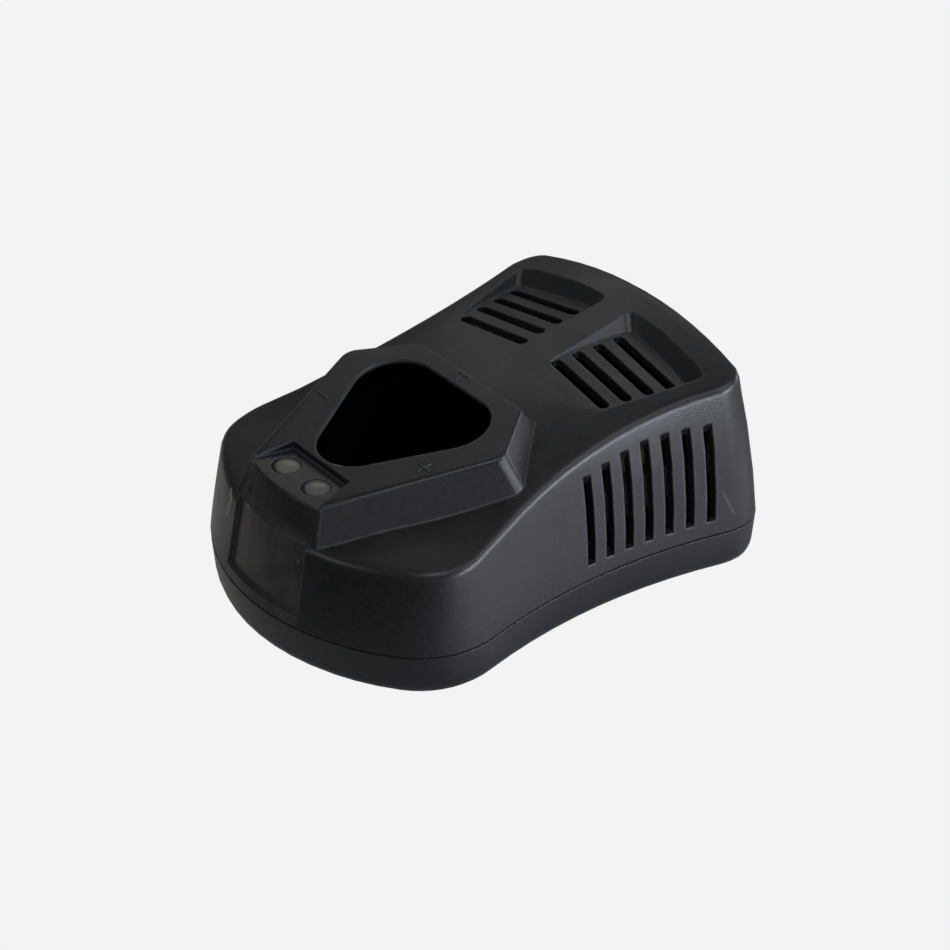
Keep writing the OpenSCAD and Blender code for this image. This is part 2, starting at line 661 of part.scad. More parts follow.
module top_shell() {
  color(black_plastic) difference() {
    union() {
      difference() {
        union() {
          skin();
          collar_form(0, 0, collar_depth + 0.5);
        }
        collar_form(-wall, wall, collar_depth + 7);
      }
      at_collar() well_prism(cell_clearance_radius + throat_wall, -throat_depth, -0.5);
      for (m = [0, 1]) mirror([m, 0, 0]) pocket_pan();
      lamp_pan();
      for (p = POSTS) post(p);
      for (p = LAMP_POSTS) translate([p.x, p.y, lamp_board_z + lamp_board_t])
        cylinder(d = 4, h = lamp_floor_z - 0.9 - lamp_board_z - lamp_board_t);
    }
    for (m = [0, 1]) mirror([m, 0, 0]) {
      pocket_cut();
      for (k = [0:roof_vents - 1]) roof_vent(k);
      for (y = side_vent_y) side_vent(y);
    }
    lamp_recess();
    for (x = [-1, 1]) translate([x * lens_pitch / 2, lens_y, lamp_floor_z]) {
      translate([0, 0, -6]) cylinder(d = lens_d + 2 * lens_gap, h = 12);
      translate([0, 0, -lamp_pan_t - lens_flange_t - 0.4])
        cylinder(d = lens_d + 2 * lens_flange_w + 0.4, h = lens_flange_t + 0.4);
    }
    at_collar() well_prism(cell_clearance_radius, -throat_depth - 1, 3);
    front_panel_cut();
    for (p = POSTS) translate([p.x, p.y, post_joint_z - 1]) cylinder(d = pilot_d, h = screw_length);
    for (p = LAMP_POSTS) translate([p.x, p.y, lamp_board_z + lamp_board_t - 1])
      cylinder(d = lamp_screw_d - 0.5, h = 4.6);
    inlet_cut();
  }
}
module post(p) {
  top = roof(p.x, p.y) - 1.5;
  translate([p.x, p.y, post_joint_z]) cylinder(d = post_d, h = top - post_joint_z);
}
module inlet_cut() {
  translate([-inlet_w / 2 - inlet_gap, rear_y - 8, inlet_z - inlet_gap])
    cube([inlet_w + 2 * inlet_gap, 12, inlet_h + 2 * inlet_gap]);
}

// ---- The liner: a cup with a flange under the collar and three windows for the contacts
flange_t = 1.5;
flange_w = 2;
throat_wall = 2;
throat_depth = 5.5;
liner_top = -throat_depth;
leg_d = 6;
function collar_point(p) = [
  p.x,
  well_y + p.y * cos(tilt) - p.z * sin(tilt),
  well_z + p.y * sin(tilt) + p.z * cos(tilt)
];
LEGS = [for (a = [-90, 30, 150])
  collar_point([triangle_r * cos(a), triangle_r * sin(a), -well_depth])];
window_top = -well_depth + 17;
window_bottom = -well_depth + 5;
module battery_well() {
  color(dark_liner) difference() {
    union() {
      at_collar() {
        well_prism(liner_r + liner_wall, -well_depth - liner_wall, liner_top);
        difference() {
          well_prism(liner_r + flange_w, liner_top - flange_t, liner_top);
          translate([-20, -triangle_r - liner_r - liner_wall - 20, liner_top - flange_t - 1])
            cube([40, 20, flange_t + 2]);
        }
      }
      for (p = LEGS) translate([p.x, p.y, floor_z]) cylinder(d = leg_d, h = p.z - floor_z);
    }
    at_collar() {
      well_prism(liner_r, -well_depth, 5);
      for (a = CONTACT_ANGLES) rotate(a) translate([side_reach - 1, -leaf_w / 2 - 0.7, window_bottom])
        cube([liner_wall + 2, leaf_w + 1.4, window_top - window_bottom]);
    }
  }
}

// ---- Contacts: three leaves in blocks outside the liner, one on each flat of the triangle
CONTACT_ANGLES = [210, 90, -30];
block_w = leaf_w + 4.4;
block_in = side_reach + liner_wall;
block_out = block_in + 5.4;
foot_z = -well_depth + 3;
foot_rho = block_in + 1.6;
module contact_blocks() {
  color("#1b1c1e") at_collar() for (a = CONTACT_ANGLES) rotate(a) difference() {
    translate([block_in, -block_w / 2, -well_depth]) cube([block_out - block_in, block_w, 19]);
    translate([block_in - 1, -leaf_w / 2 - 0.7, foot_z]) cube([block_out - block_in, leaf_w + 1.4, 14.5]);
    translate([foot_rho, block_w / 2 - 2, foot_z]) rotate([90, 0, 0])
      cylinder(r = leaf_foot_r + foot_fit, h = block_w - 4);
    translate([foot_rho - 0.6, 0, -well_depth - 1]) cylinder(d = wire_d + 0.3, h = 3);
  }
}
// Side profile of a leaf, x outwards from the well's centre and y up, from its foot
leaf_rise = 15;
leaf_bend_x = side_reach - leaf_reach - foot_rho;
leaf_line = [[0, 0], [-0.3, 3], [leaf_bend_x, 9], [leaf_bend_x, 10.5], [0.4, leaf_rise - 1]];
module leaf() {
  for (k = [0:len(leaf_line) - 2]) {
    a = leaf_line[k];
    b = leaf_line[k + 1];
    u = (b - a) / norm(b - a);
    v = [-u.y, u.x] * leaf_t / 2;
    translate([0, leaf_w / 2, 0]) rotate([90, 0, 0]) linear_extrude(leaf_w)
      polygon([a - v, b - v, b + v, a + v]);
  }
  for (k = [1:len(leaf_line) - 1]) translate([leaf_line[k].x, leaf_w / 2, leaf_line[k].y])
    rotate([90, 0, 0]) cylinder(d = leaf_t, h = leaf_w);
  translate([0, leaf_w / 2, 0]) rotate([90, 0, 0]) cylinder(r = leaf_foot_r, h = leaf_w);
}
module contact(angle) {
  color(contact_metal) at_collar() rotate(angle) translate([foot_rho, 0, foot_z]) leaf();
}
module contact_negative() { contact(CONTACT_ANGLES[0]); }
module contact_thermistor() { contact(CONTACT_ANGLES[1]); }
module contact_positive() { contact(CONTACT_ANGLES[2]); }

// ---- Lamps: two domed lenses over two LEDs on a small board inside the nose
lens_flange_t = 1;
lens_flange_w = 0.6;
led_h = 5;
lamp_board_t = 1.2;
lamp_board_z = lamp_floor_z - lamp_pan_t - lens_flange_t - led_h - lamp_board_t;
LAMP_POSTS = [[0, lens_y - 3.4], [0, lens_y + 2.6]];
lamp_screw_d = 2;
module lens(x) {
  color("#b9b6a6") translate([x, lens_y, lamp_floor_z]) {
    translate([0, 0, -lamp_pan_t]) cylinder(d = lens_d, h = lamp_pan_t);
    intersection() {
      translate([0, 0, -lens_d * 0.9]) sphere(r = lens_d * 1.03, $fn = 64);
      cylinder(d = lens_d, h = 2);
    }
    translate([0, 0, -lamp_pan_t - lens_flange_t])
      cylinder(d = lens_d + 2 * lens_flange_w, h = lens_flange_t);
  }
}
module charge_lens() { lens(-lens_pitch / 2); }
module status_lens() { lens(lens_pitch / 2); }
module lamp_board() {
  color(board_green) difference() {
    translate([-11, lens_y - 5.2, lamp_board_z]) cube([22, 10.4, lamp_board_t]);
    for (p = LAMP_POSTS) translate([p.x, p.y, lamp_board_z - 1]) cylinder(d = lamp_screw_d + 0.3, h = 4);
  }
}
module lamp_leds() {
  color("#e8e4d8") for (x = [-1, 1]) translate([x * lens_pitch / 2, lens_y, lamp_board_z + lamp_board_t]) {
    cylinder(d = 5.6, h = 1);
    cylinder(d = 4.8, h = 2.4);
    translate([0, 0, 2.4]) sphere(d = 4.8);
  }
}

// ---- Wires: each is a chain of straight runs with round elbows, from its start to the board
wire_d = 1.3;
wire_pitch = 2.5;
module wire(path) {
  for (k = [0:len(path) - 2]) {
    v = path[k + 1] - path[k];
    translate(path[k]) rotate([0, acos(v.z / norm(v)), atan2(v.y, v.x)])
      cylinder(d = wire_d, h = norm(v), $fn = 16);
    if (k > 0) translate(path[k]) sphere(d = wire_d + 0.08, $fn = 16);
  }
}
wire_floor_z = floor_z + wire_d / 2 + 0.5;
wire_land_y = board_front_y + 1.8;
// Over the front edge of the board and down onto a pad
function landing(x) = [
  [x, board_front_y - 1.6, wire_floor_z], [x, board_front_y - 1.6, board_top + 2],
  [x, wire_land_y, board_top + 2], [x, wire_land_y, board_top]
];
module lamp_wires() {
  color("#3b4a8c") for (k = [0:2]) {
    x = 9.4 - wire_pitch * k;
    wire(concat(
      [[x, lens_y + 4, lamp_board_z], [x, lens_y + 4, lamp_board_z - 3],
       [x + 9, lens_y + 6.8, 20], [x + 19.6, well_y - 12, wire_floor_z]],
      landing(x + 19.6)
    ));
  }
}
function contact_tail(a, z) = collar_point([(foot_rho - 0.6) * cos(a), (foot_rho - 0.6) * sin(a), z]);
module contact_wires() {
  turns = [
    [[-19, well_y + 10, wire_floor_z], [-15, well_y + 24, wire_floor_z],
     [-2, board_front_y - 5, wire_floor_z]],
    [],
    [[19.5, well_y + 12, wire_floor_z], [16, well_y + 28, wire_floor_z]]
  ];
  color("#a03a32") for (k = [0:2]) {
    a = CONTACT_ANGLES[k];
    wire(concat(
      [contact_tail(a, foot_z - leaf_foot_r - 0.3), contact_tail(a, -well_depth - 1.6)],
      turns[k],
      landing([4.5, 7.5, 16][k])
    ));
  }
}

// ---- Circuit board with its parts, in their own places on the board
board_chamfer = 6;
module on_board(x, y) {
  translate([x, board_front_y + y, board_top]) children();
}
module circuit_board() {
  right = [
    [board_half, board_front_y], [board_half, board_rear_y - board_chamfer],
    [board_half - board_chamfer, board_rear_y]
  ];
  left = [for (i = [2:-1:0]) [-right[i].x, right[i].y]];
  color(board_green) difference() {
    translate([0, 0, board_z]) linear_extrude(board_t) polygon(concat(right, left));
    for (p = BOARD_POSTS) translate([p.x, p.y, board_z - 1]) cylinder(d = board_screw_d + 0.4, h = 5);
    for (p = POSTS) translate([p.x, p.y, board_z - 1]) cylinder(d = stub_d + 0.8, h = 5);
  }
}
sheet_t = 0.4;
module insulating_sheet() {
  w = board_half - 8;
  color("#c9ccb8") translate([-w, board_front_y + 2, floor_z])
    cube([2 * w, board_length - 5, sheet_t]);
}
// Transformer: its parts share one axis along Y through the middle of the winding
core_w = 27;
core_d = 26;
core_h = 9;
leg_w = 9;
yoke_t = 4.5;
side_leg_w = 3.3;
winding_t = 4.2;
coil_wall = 1;
platform_t = 3;
flange_h = core_h + 2 * coil_wall + 2 * winding_t + 1;
transformer_x = 19;
transformer_y = 15;
module at_transformer() {
  on_board(transformer_x, transformer_y) translate([0, 0, platform_t + flange_h / 2]) children();
}
module block(x, y, z) {
  translate([-x / 2, -y / 2, -z / 2]) cube([x, y, z]);
}
coil_d = core_d - 2 * yoke_t;
module transformer_core() {
  window_w = (core_w - leg_w) / 2 - side_leg_w;
  color("#3a3b3d") at_transformer() difference() {
    block(core_w, core_d, core_h);
    for (x = [-1, 1]) translate([x * (leg_w + window_w) / 2, 0, 0]) block(window_w, coil_d, core_h + 1);
  }
}
module transformer_bobbin() {
  color("#1d1e20") at_transformer() difference() {
    union() {
      block(leg_w + 2 * coil_wall, coil_d, core_h + 2 * coil_wall);
      for (y = [-1, 1]) translate([0, y * (coil_d / 2 - 0.6), 0])
        block(leg_w + 2 * coil_wall + 2 * winding_t, 1.2, flange_h);
      for (y = [-1, 1]) translate([0, y * (coil_d / 2 - 1.5), -flange_h / 2 - platform_t / 2])
        block(core_w - 2, 3, platform_t);
      translate([0, 0, -flange_h / 2 - platform_t + 0.6]) block(core_w - 8, coil_d, 1.2);
    }
    block(leg_w, coil_d + 2, core_h);
  }
}
module transformer_tape() {
  t = winding_t - 0.3;
  color("#c8a83a") at_transformer() difference() {
    block(leg_w + 2 * coil_wall + 2 * t, coil_d - 2.4, core_h + 2 * coil_wall + 2 * t);
    block(leg_w + 2 * coil_wall, coil_d, core_h + 2 * coil_wall);
  }
}
mains_capacitor_d = 16;
module mains_capacitor() {
  color("#23324d") on_board(-27, 16.1) difference() {
    union() {
      cylinder(d = mains_capacitor_d - 1, h = 3);
      translate([0, 0, 1.2]) cylinder(d = mains_capacitor_d, h = 23.8);
      translate([0, 0, 25]) cylinder(d1 = mains_capacitor_d, d2 = mains_capacitor_d - 1.6, h = 0.8);
    }
    translate([0, 0, 25.3]) block(mains_capacitor_d - 5, 0.6, 1.4);
    translate([0, 0, 25.3]) block(0.6, mains_capacitor_d - 5, 1.4);
  }
}
module output_capacitors() {
  color("#2d2f35") for (y = [5.1, 14.6]) on_board(-13.5, y) difference() {
    union() {
      cylinder(d = 7.4, h = 2);
      translate([0, 0, 0.8]) cylinder(d = 8, h = 13.4);
      translate([0, 0, 14.2]) cylinder(d1 = 8, d2 = 7, h = 0.5);
    }
    translate([0, 0, 14.5]) block(5, 0.4, 0.8);
    translate([0, 0, 14.5]) block(0.4, 5, 0.8);
  }
}
module filter_choke() {
  color("#b06a35") on_board(-21.5, 36.1) translate([0, 0, 9]) {
    for (x = [-1, 1]) translate([x * 3.1, 5, 0]) rotate([90, 0, 0]) difference() {
      cylinder(d = 5.8, h = 10);
      translate([0, 0, -1]) cylinder(d = 3, h = 12);
    }
  }
  color("#3a3b3d") on_board(-21.5, 36.1) translate([0, 0, 9]) {
    for (y = [-1, 1]) translate([0, y * 5.9, 0]) block(11.6, 1.8, 5.6);
    for (x = [-1, 1]) translate([x * 3.1, 5.2, 0]) rotate([90, 0, 0]) cylinder(d = 3, h = 10.4);
    translate([0, 0, -5.9]) block(12, 13.4, 6.2);
  }
}
module filter_capacitor() {
  color("#c7962f") on_board(25, 36) translate([0, 0, 7]) difference() {
    block(7.5, 12, 14);
    for (y = [-1, 1]) translate([0, y * 4.4, -7]) block(8, 1.6, 0.8);
  }
}
module fuse() {
  color("#4b3a2c") on_board(14.6, 38.4) {
    cylinder(d = 7.6, h = 0.6);
    translate([0, 0, 0.6]) cylinder(d = 8.4, h = 7);
  }
}
module bridge_rectifier() {
  color("#202124") on_board(-20.5, 26.5) translate([0, 0, 2]) difference() {
    translate([0, 0, 5.5]) block(14.4, 3.4, 11);
    translate([0, -3, 8.5]) rotate([-90, 0, 0]) cylinder(d = 3.2, h = 6);
    translate([7.2, 0, 11]) rotate([0, 45, 0]) block(2.4, 5, 2.4);
  }
  color("#b9bcc0") on_board(-20.5, 26.5) for (k = [0:3]) translate([-5.7 + 3.8 * k, 0, 1])
    block(1.1, 0.6, 2);
}
sink_h = 24;
module heat_sink() {
  color("#a9adb2") on_board(-3, 12.1) difference() {
    union() {
      translate([0, 0, sink_h / 2]) block(2, 20, sink_h);
      for (y = [-9.3, -4.65, 0, 4.65, 9.3]) translate([3.4, y, sink_h / 2]) block(5, 1.4, sink_h);
    }
    for (y = [-5, 5]) translate([-3, y, 17]) rotate([0, 90, 0]) cylinder(d = 3.2, h = 5);
  }
}
module power_transistors() {
  for (y = [-5, 5]) on_board(-4, 12.1 + y) {
    color("#202124") translate([-2.6, 0, 8.5]) block(3.2, 9.6, 9);
    color("#b9bcc0") difference() {
      translate([-0.6, 0, 12.2]) block(1.2, 9.4, 15.4);
      translate([-3, 0, 17]) rotate([0, 90, 0]) cylinder(d = 3.2, h = 5);
    }
    color("#b9bcc0") for (k = [-1:1]) translate([-2.6, k * 2.54, 2]) block(0.6, 1, 4);
  }
}
module control_chips() {
  color("#1c1d1f") {
    on_board(-24, 4.1) translate([0, 0, 2.2]) block(9.4, 6.4, 3.4);
    on_board(0.5, 24.7) translate([0, 0, 2.2]) block(6.4, 4.6, 3.4);
  }
  color("#b9bcc0") {
    for (k = [-1.5:1.5]) for (y = [-1, 1]) on_board(-24 + 2.54 * k, 4.1 + y * 3.6)
      translate([0, 0, 1.1]) block(0.8, 0.8, 2.2);
    for (k = [-0.5, 0.5]) for (x = [-1, 1]) on_board(0.5 + x * 3.6, 24.7 + 2.54 * k)
      translate([0, 0, 1.1]) block(0.8, 0.8, 2.2);
  }
}

// ---- Inlet body and pins
socket_depth = 12.5;
socket_r = 3.95;
module inlet_body() {
  color("#18191b") difference() {
    translate([-inlet_w / 2, inlet_face_y - inlet_d, inlet_z]) cube([inlet_w, inlet_d, inlet_h]);
    translate([0, inlet_face_y - socket_depth, socket_z]) rotate([-90, 0, 0])
      linear_extrude(socket_depth + 1) {
        for (x = [-1, 1]) translate([x * pin_pitch / 2, 0]) circle(socket_r);
        translate([-pin_pitch / 2, -socket_r + 0.4]) square([pin_pitch, 2 * socket_r - 0.8]);
      }
    for (x = [-1, 1]) translate([x * pin_pitch / 2, inlet_face_y - inlet_d - 1, socket_z])
      rotate([-90, 0, 0]) cylinder(d = pin_d, h = inlet_d);
  }
}
pin_length = 9.5;
module inlet_pins() {
  tail_y = inlet_face_y - inlet_d - 1;
  straight = inlet_d + 1 - socket_depth + pin_length - pin_d / 2;
  color("#c9ccd0") for (x = [-1, 1]) {
    translate([x * pin_pitch / 2, tail_y, socket_z]) rotate([-90, 0, 0]) {
      cylinder(d = pin_d, h = straight);
      translate([0, 0, straight]) sphere(d = pin_d);
    }
    translate([x * pin_pitch / 2, tail_y + 0.1, inlet_z]) cylinder(d = 1.6, h = socket_z - inlet_z);
  }
}

// ---- Screws and feet
module screw(d, head_d, head_h, length) {
  tip = d / 3;
  difference() {
    rotate_extrude() polygon([
      [0, head_h], [head_d / 2, head_h], [head_d / 2, 0], [d / 2, 0],
      [d / 2, -length], [tip / 2, -length - tip], [0, -length - tip]
    ]);
    translate([0, 0, head_h]) {
      block(head_d * 0.6, head_d * 0.16, head_h * 1.1);
      block(head_d * 0.16, head_d * 0.6, head_h * 1.1);
    }
  }
}
module housing_screws() {
  color("#8d9094") for (p = POSTS) translate([p.x, p.y, screw_head_z]) rotate([180, 0, 0])
    screw(screw_d, screw_head_d, 2.2, screw_length - 2);
}
module board_screws() {
  color("#8d9094") for (p = BOARD_POSTS) translate([p.x, p.y, board_top])
    screw(board_screw_d, 4.5, 1.6, board_t + board_lift - 2);
}
module lamp_screws() {
  color("#8d9094") for (p = LAMP_POSTS) translate([p.x, p.y, lamp_board_z]) rotate([180, 0, 0])
    screw(lamp_screw_d, 3.4, 1.2, 3.6);
}
module rubber_feet() {
  color("#2a2a2a") for (p = FEET) translate([p.x, p.y, 0]) {
    cylinder(d1 = foot_d - 1, d2 = foot_d, h = 0.5);
    translate([0, 0, 0.5]) cylinder(d = foot_d, h = foot_proud + foot_seat - 0.5);
  }
}

base_shell();
top_shell();
battery_well();
contact_blocks();
contact_negative();
contact_thermistor();
contact_positive();
charge_lens();
status_lens();
lamp_board();
lamp_leds();
lamp_wires();
contact_wires();
circuit_board();
insulating_sheet();
transformer_core();
transformer_bobbin();
transformer_tape();
mains_capacitor();
output_capacitors();
filter_choke();
filter_capacitor();
fuse();
bridge_rectifier();
heat_sink();
power_transistors();
control_chips();
inlet_body();
inlet_pins();
housing_screws();
board_screws();
lamp_screws();
rubber_feet();
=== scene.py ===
# %% [markdown]
# # A desktop charger for a stick battery
# Real object: a palm-sized charger in matt black plastic. Its two shells meet at a seam near the table, a
# faceted collar rises out of the roof round the battery well, and two lamps sit in the nose.
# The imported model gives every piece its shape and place. This lesson keeps those pieces, gives each one a
# procedural finish, refines the shells, and adds the small moulded details that a CAD model leaves out.

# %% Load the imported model
import json
import math

import bpy
from mathutils import Matrix, Vector


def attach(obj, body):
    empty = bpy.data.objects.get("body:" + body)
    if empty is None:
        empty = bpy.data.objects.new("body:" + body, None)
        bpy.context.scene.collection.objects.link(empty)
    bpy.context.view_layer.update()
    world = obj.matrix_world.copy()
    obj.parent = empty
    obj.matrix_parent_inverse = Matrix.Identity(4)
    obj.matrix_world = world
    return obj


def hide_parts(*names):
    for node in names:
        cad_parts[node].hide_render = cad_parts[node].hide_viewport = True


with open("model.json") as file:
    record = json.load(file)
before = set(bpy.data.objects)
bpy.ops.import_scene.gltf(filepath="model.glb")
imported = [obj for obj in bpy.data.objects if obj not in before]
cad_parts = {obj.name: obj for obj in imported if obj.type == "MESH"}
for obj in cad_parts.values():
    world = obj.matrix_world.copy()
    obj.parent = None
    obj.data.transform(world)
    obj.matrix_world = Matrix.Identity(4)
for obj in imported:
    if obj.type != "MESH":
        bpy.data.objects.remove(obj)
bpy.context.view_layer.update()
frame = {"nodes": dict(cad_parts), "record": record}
nodes = frame["nodes"]
MM = 0.001


# %% [markdown]
# ## Camera
# The object is seen from its front right corner, about a third of a right angle above the table. A long lens
# keeps the upright lines nearly parallel, so the camera stands two thirds of a metre away. A Track To
# constraint with an empty as its target would aim it as well, but turning the direction into a rotation
# keeps the file without helper objects.

# %% Camera
CAMERA_PLACE = Vector((448.4, -350.8, 390.2)) * MM
CAMERA_AIM = Vector((10.64, -5.58, 30.27)) * MM
# A camera's focal length and sensor are in millimetres, whatever the scene's unit
FOCAL_LENGTH, SENSOR_WIDTH = 104.37, 36
NEAREST = 50 * MM


def turned_to(place, target):
    """The rotation that points a camera or a lamp at place towards target."""
    return (Vector(target) - Vector(place)).to_track_quat("-Z", "Y").to_euler()


camera_data = bpy.data.cameras.new("camera")
camera_data.sensor_width = SENSOR_WIDTH
camera_data.lens = FOCAL_LENGTH
camera_data.clip_start = NEAREST
camera = bpy.data.objects.new("camera", camera_data)
bpy.context.scene.collection.objects.link(camera)
camera.location = CAMERA_PLACE
camera.rotation_euler = turned_to(CAMERA_PLACE, CAMERA_AIM)
bpy.context.scene.camera = camera
print("camera distance:", round((CAMERA_AIM - CAMERA_PLACE).length, 4), "m")

# %% [markdown]
# ## Helpers for shader trees
# The room, the floor and every finish below are small trees of shader nodes. In the shader editor each node
# is added and wired by hand. Here a few helpers do the same, so that a cell reads like the sum it works out.


# %% Helpers for shader trees
def add(tree, kind, **settings):
    node = tree.nodes.new(kind)
    for key, value in settings.items():
        setattr(node, key, value)
    return node


def connect(tree, value, socket):
    """Link an output to a socket, or set the socket to a plain value."""
    if isinstance(value, bpy.types.NodeSocket):
        tree.links.new(value, socket)
    elif value is not None:
        socket.default_value = value


def math_node(tree, operation, a, b=None, clamp=False):
    node = add(tree, "ShaderNodeMath", operation=operation, use_clamp=clamp)
    connect(tree, a, node.inputs[0])
    connect(tree, b, node.inputs[1])
    return node.outputs[0]


def product(tree, first, *others):
    for other in others:
        first = math_node(tree, "MULTIPLY", first, other)
    return first


def without(tree, mask):
    """One minus a mask."""
    return math_node(tree, "SUBTRACT", 1.0, mask)


def ramp(tree, value, low, high, to_low=0.0, to_high=1.0):
    """Smooth step from to_low at low to to_high at high. It falls where low is the larger."""
    node = add(tree, "ShaderNodeMapRange", interpolation_type="SMOOTHSTEP")
    connect(tree, value, node.inputs["Value"])
    labels = ("From Min", "From Max", "To Min", "To Max")
    for label, number in zip(labels, (low, high, to_low, to_high)):
        node.inputs[label].default_value = number
    return node.outputs["Result"]


def mix_colour(tree, factor, a, b):
    node = add(tree, "ShaderNodeMix", data_type="RGBA")
    for value, label in ((factor, "Factor"), (a, "A"), (b, "B")):
        connect(tree, (*value, 1) if isinstance(value, tuple) else value, node.inputs[label])
    return node.outputs["Result"]


def object_place(tree):
    """The place of each point in its piece's own coordinates, in metres."""
    return add(tree, "ShaderNodeTexCoord").outputs["Object"]


def split(tree, vector):
    node = add(tree, "ShaderNodeSeparateXYZ")
    tree.links.new(vector, node.inputs[0])
    return node.outputs


def shader_choice(tree, ray_names, otherwise, chosen):
    """The shader `chosen` for the named kinds of ray, and `otherwise` for all other rays."""
    path = add(tree, "ShaderNodeLightPath")
    factor = path.outputs[ray_names[0]]
    for name in ray_names[1:]:
        factor = math_node(tree, "MAXIMUM", factor, path.outputs[name])
    mix = add(tree, "ShaderNodeMixShader")
    tree.links.new(factor, mix.inputs["Fac"])
    tree.links.new(otherwise.outputs[0], mix.inputs[1])
    tree.links.new(chosen.outputs[0], mix.inputs[2])
    return mix


# %% [markdown]
# ## Room
# The camera sees one pale studio backdrop. All other rays see a dim, slightly cool room, which fills the
# shadows. A large white box round the object would do the same, but the world shader needs no geometry.

# %% Room
BACKDROP = (0.896, 0.896, 0.896, 1)
ROOM_COLOUR = (0.95, 0.97, 1, 1)
ROOM_STRENGTH = 0.13
VIEWED = ("Is Camera Ray", "Is Transmission Ray")
MIRRORED = ("Is Glossy Ray",)

world = bpy.data.worlds.new("studio")
bpy.context.scene.world = world
world.use_nodes = True
tree = world.node_tree
tree.nodes.clear()
room = add(tree, "ShaderNodeBackground")
room.inputs["Color"].default_value = ROOM_COLOUR
room.inputs["Strength"].default_value = ROOM_STRENGTH
sky = add(tree, "ShaderNodeBackground")
sky.inputs["Color"].default_value = BACKDROP
out = add(tree, "ShaderNodeOutputWorld")
tree.links.new(shader_choice(tree, VIEWED, room, sky).outputs[0], out.inputs["Surface"])
bpy.context.scene.view_settings.view_transform = "Standard"
print("room strength:", ROOM_STRENGTH)

# %% [markdown]
# ## Floor
# A matt black object shows its form by what it mirrors, so what lies around it matters more than the lamps.
# The floor is bright on the right, where the hollow side mirrors it, warm and dimmer on the left, and dark
# in front, as if a black flag stood there. Only mirror rays see this pattern: the camera sees the
# backdrop's tone, and all other rays see plain matt paint. A real set would use reflectors and flags for
# the same purpose.

# %% Floor
FLOOR_SIZE = 6
FLOOR_PAINT = (0.8, 0.8, 0.8, 1)
WARM_GROUND, COOL_GROUND = (1.0, 0.96, 0.9), (0.84, 0.88, 1.0)
# Where each patch fades in, in metres across (X) or along (Y)
RIGHT_EDGE, RIGHT_FRONT, RIGHT_REAR = (0.03, 0.08), (-0.085, -0.01), (0.12, 0.18)
LEFT_EDGE, LEFT_FRONT = (-0.02, -0.06), (-0.14, -0.07)
FLAG_EDGE = (-0.12, -0.075)
TINT_CHANGE = (-0.05, 0.05)
# Strength of the right, of the left, of the rest, and of the dark front, which is added to all of them,
# and the share of the right patch that stays behind the charger
RIGHT_GLOW, LEFT_GLOW, REST_GLOW, FRONT_GLOW = 1.1, 0.28, 0.22, 0.06
REAR_SHARE = 0.55


def floor_pattern(tree):
    """The light and dark patches that the plastic mirrors."""
    place = split(tree, object_place(tree))
    across, along = place["X"], place["Y"]
    right = product(tree, ramp(tree, across, *RIGHT_EDGE), ramp(tree, along, *RIGHT_FRONT))
    right = product(tree, right, ramp(tree, along, *RIGHT_REAR, 1.0, REAR_SHARE))
    left = product(tree, ramp(tree, across, *LEFT_EDGE), ramp(tree, along, *LEFT_FRONT))
    rest = product(tree, ramp(tree, along, *FLAG_EDGE), REST_GLOW)
    right, left = product(tree, right, RIGHT_GLOW), product(tree, left, LEFT_GLOW)
    bright = math_node(tree, "MAXIMUM", math_node(tree, "MAXIMUM", right, left), rest)
    pattern = add(tree, "ShaderNodeEmission")
    tree.links.new(math_node(tree, "ADD", bright, FRONT_GLOW), pattern.inputs["Strength"])
    tint = mix_colour(tree, ramp(tree, across, *TINT_CHANGE), WARM_GROUND, COOL_GROUND)
    tree.links.new(tint, pattern.inputs["Color"])
    return pattern


bpy.ops.mesh.primitive_plane_add(size=FLOOR_SIZE, location=(0, 0, 0))
floor = bpy.context.object
floor.name = "floor"
floor_material = bpy.data.materials.new("pale_floor")
floor_material.use_nodes = True
tree = floor_material.node_tree
tree.nodes.clear()
matt = add(tree, "ShaderNodeBsdfDiffuse")
matt.inputs["Color"].default_value = FLOOR_PAINT
glow = add(tree, "ShaderNodeEmission")
glow.inputs["Color"].default_value = BACKDROP
out = add(tree, "ShaderNodeOutputMaterial")
lit = shader_choice(tree, MIRRORED, matt, floor_pattern(tree))
tree.links.new(shader_choice(tree, VIEWED, lit, glow).outputs[0], out.inputs["Surface"])
floor.data.materials.append(floor_material)
print("floor:", len(tree.nodes), "nodes")

# %% [markdown]
# ## Lamps
# In a studio a black object is lit by a few large softboxes, each placed where one family of surfaces
# mirrors it: the curved crease between roof and side, the facets of the collar, the roof itself. An area lamp
# is a softbox. Spot or point lamps would give hard, tiny highlights that fine plastic grain doesn't show.


# %% Lamps
def softbox(name, place, size, watts, tint=(1, 1, 1), aim_height=0.03):
    """A rectangular area lamp at place, in metres, aimed at a point above the floor's middle."""
    data = bpy.data.lights.new(name, "AREA")
    data.shape = "RECTANGLE"
    data.size, data.size_y = size
    data.energy = watts
    data.color = tint
    lamp = bpy.data.objects.new(name, data)
    bpy.context.scene.collection.objects.link(lamp)
    lamp.location = place
    lamp.rotation_euler = turned_to(place, (0, 0, aim_height))
    print(name, watts, "W, from", round(Vector(place).length, 2), "m")


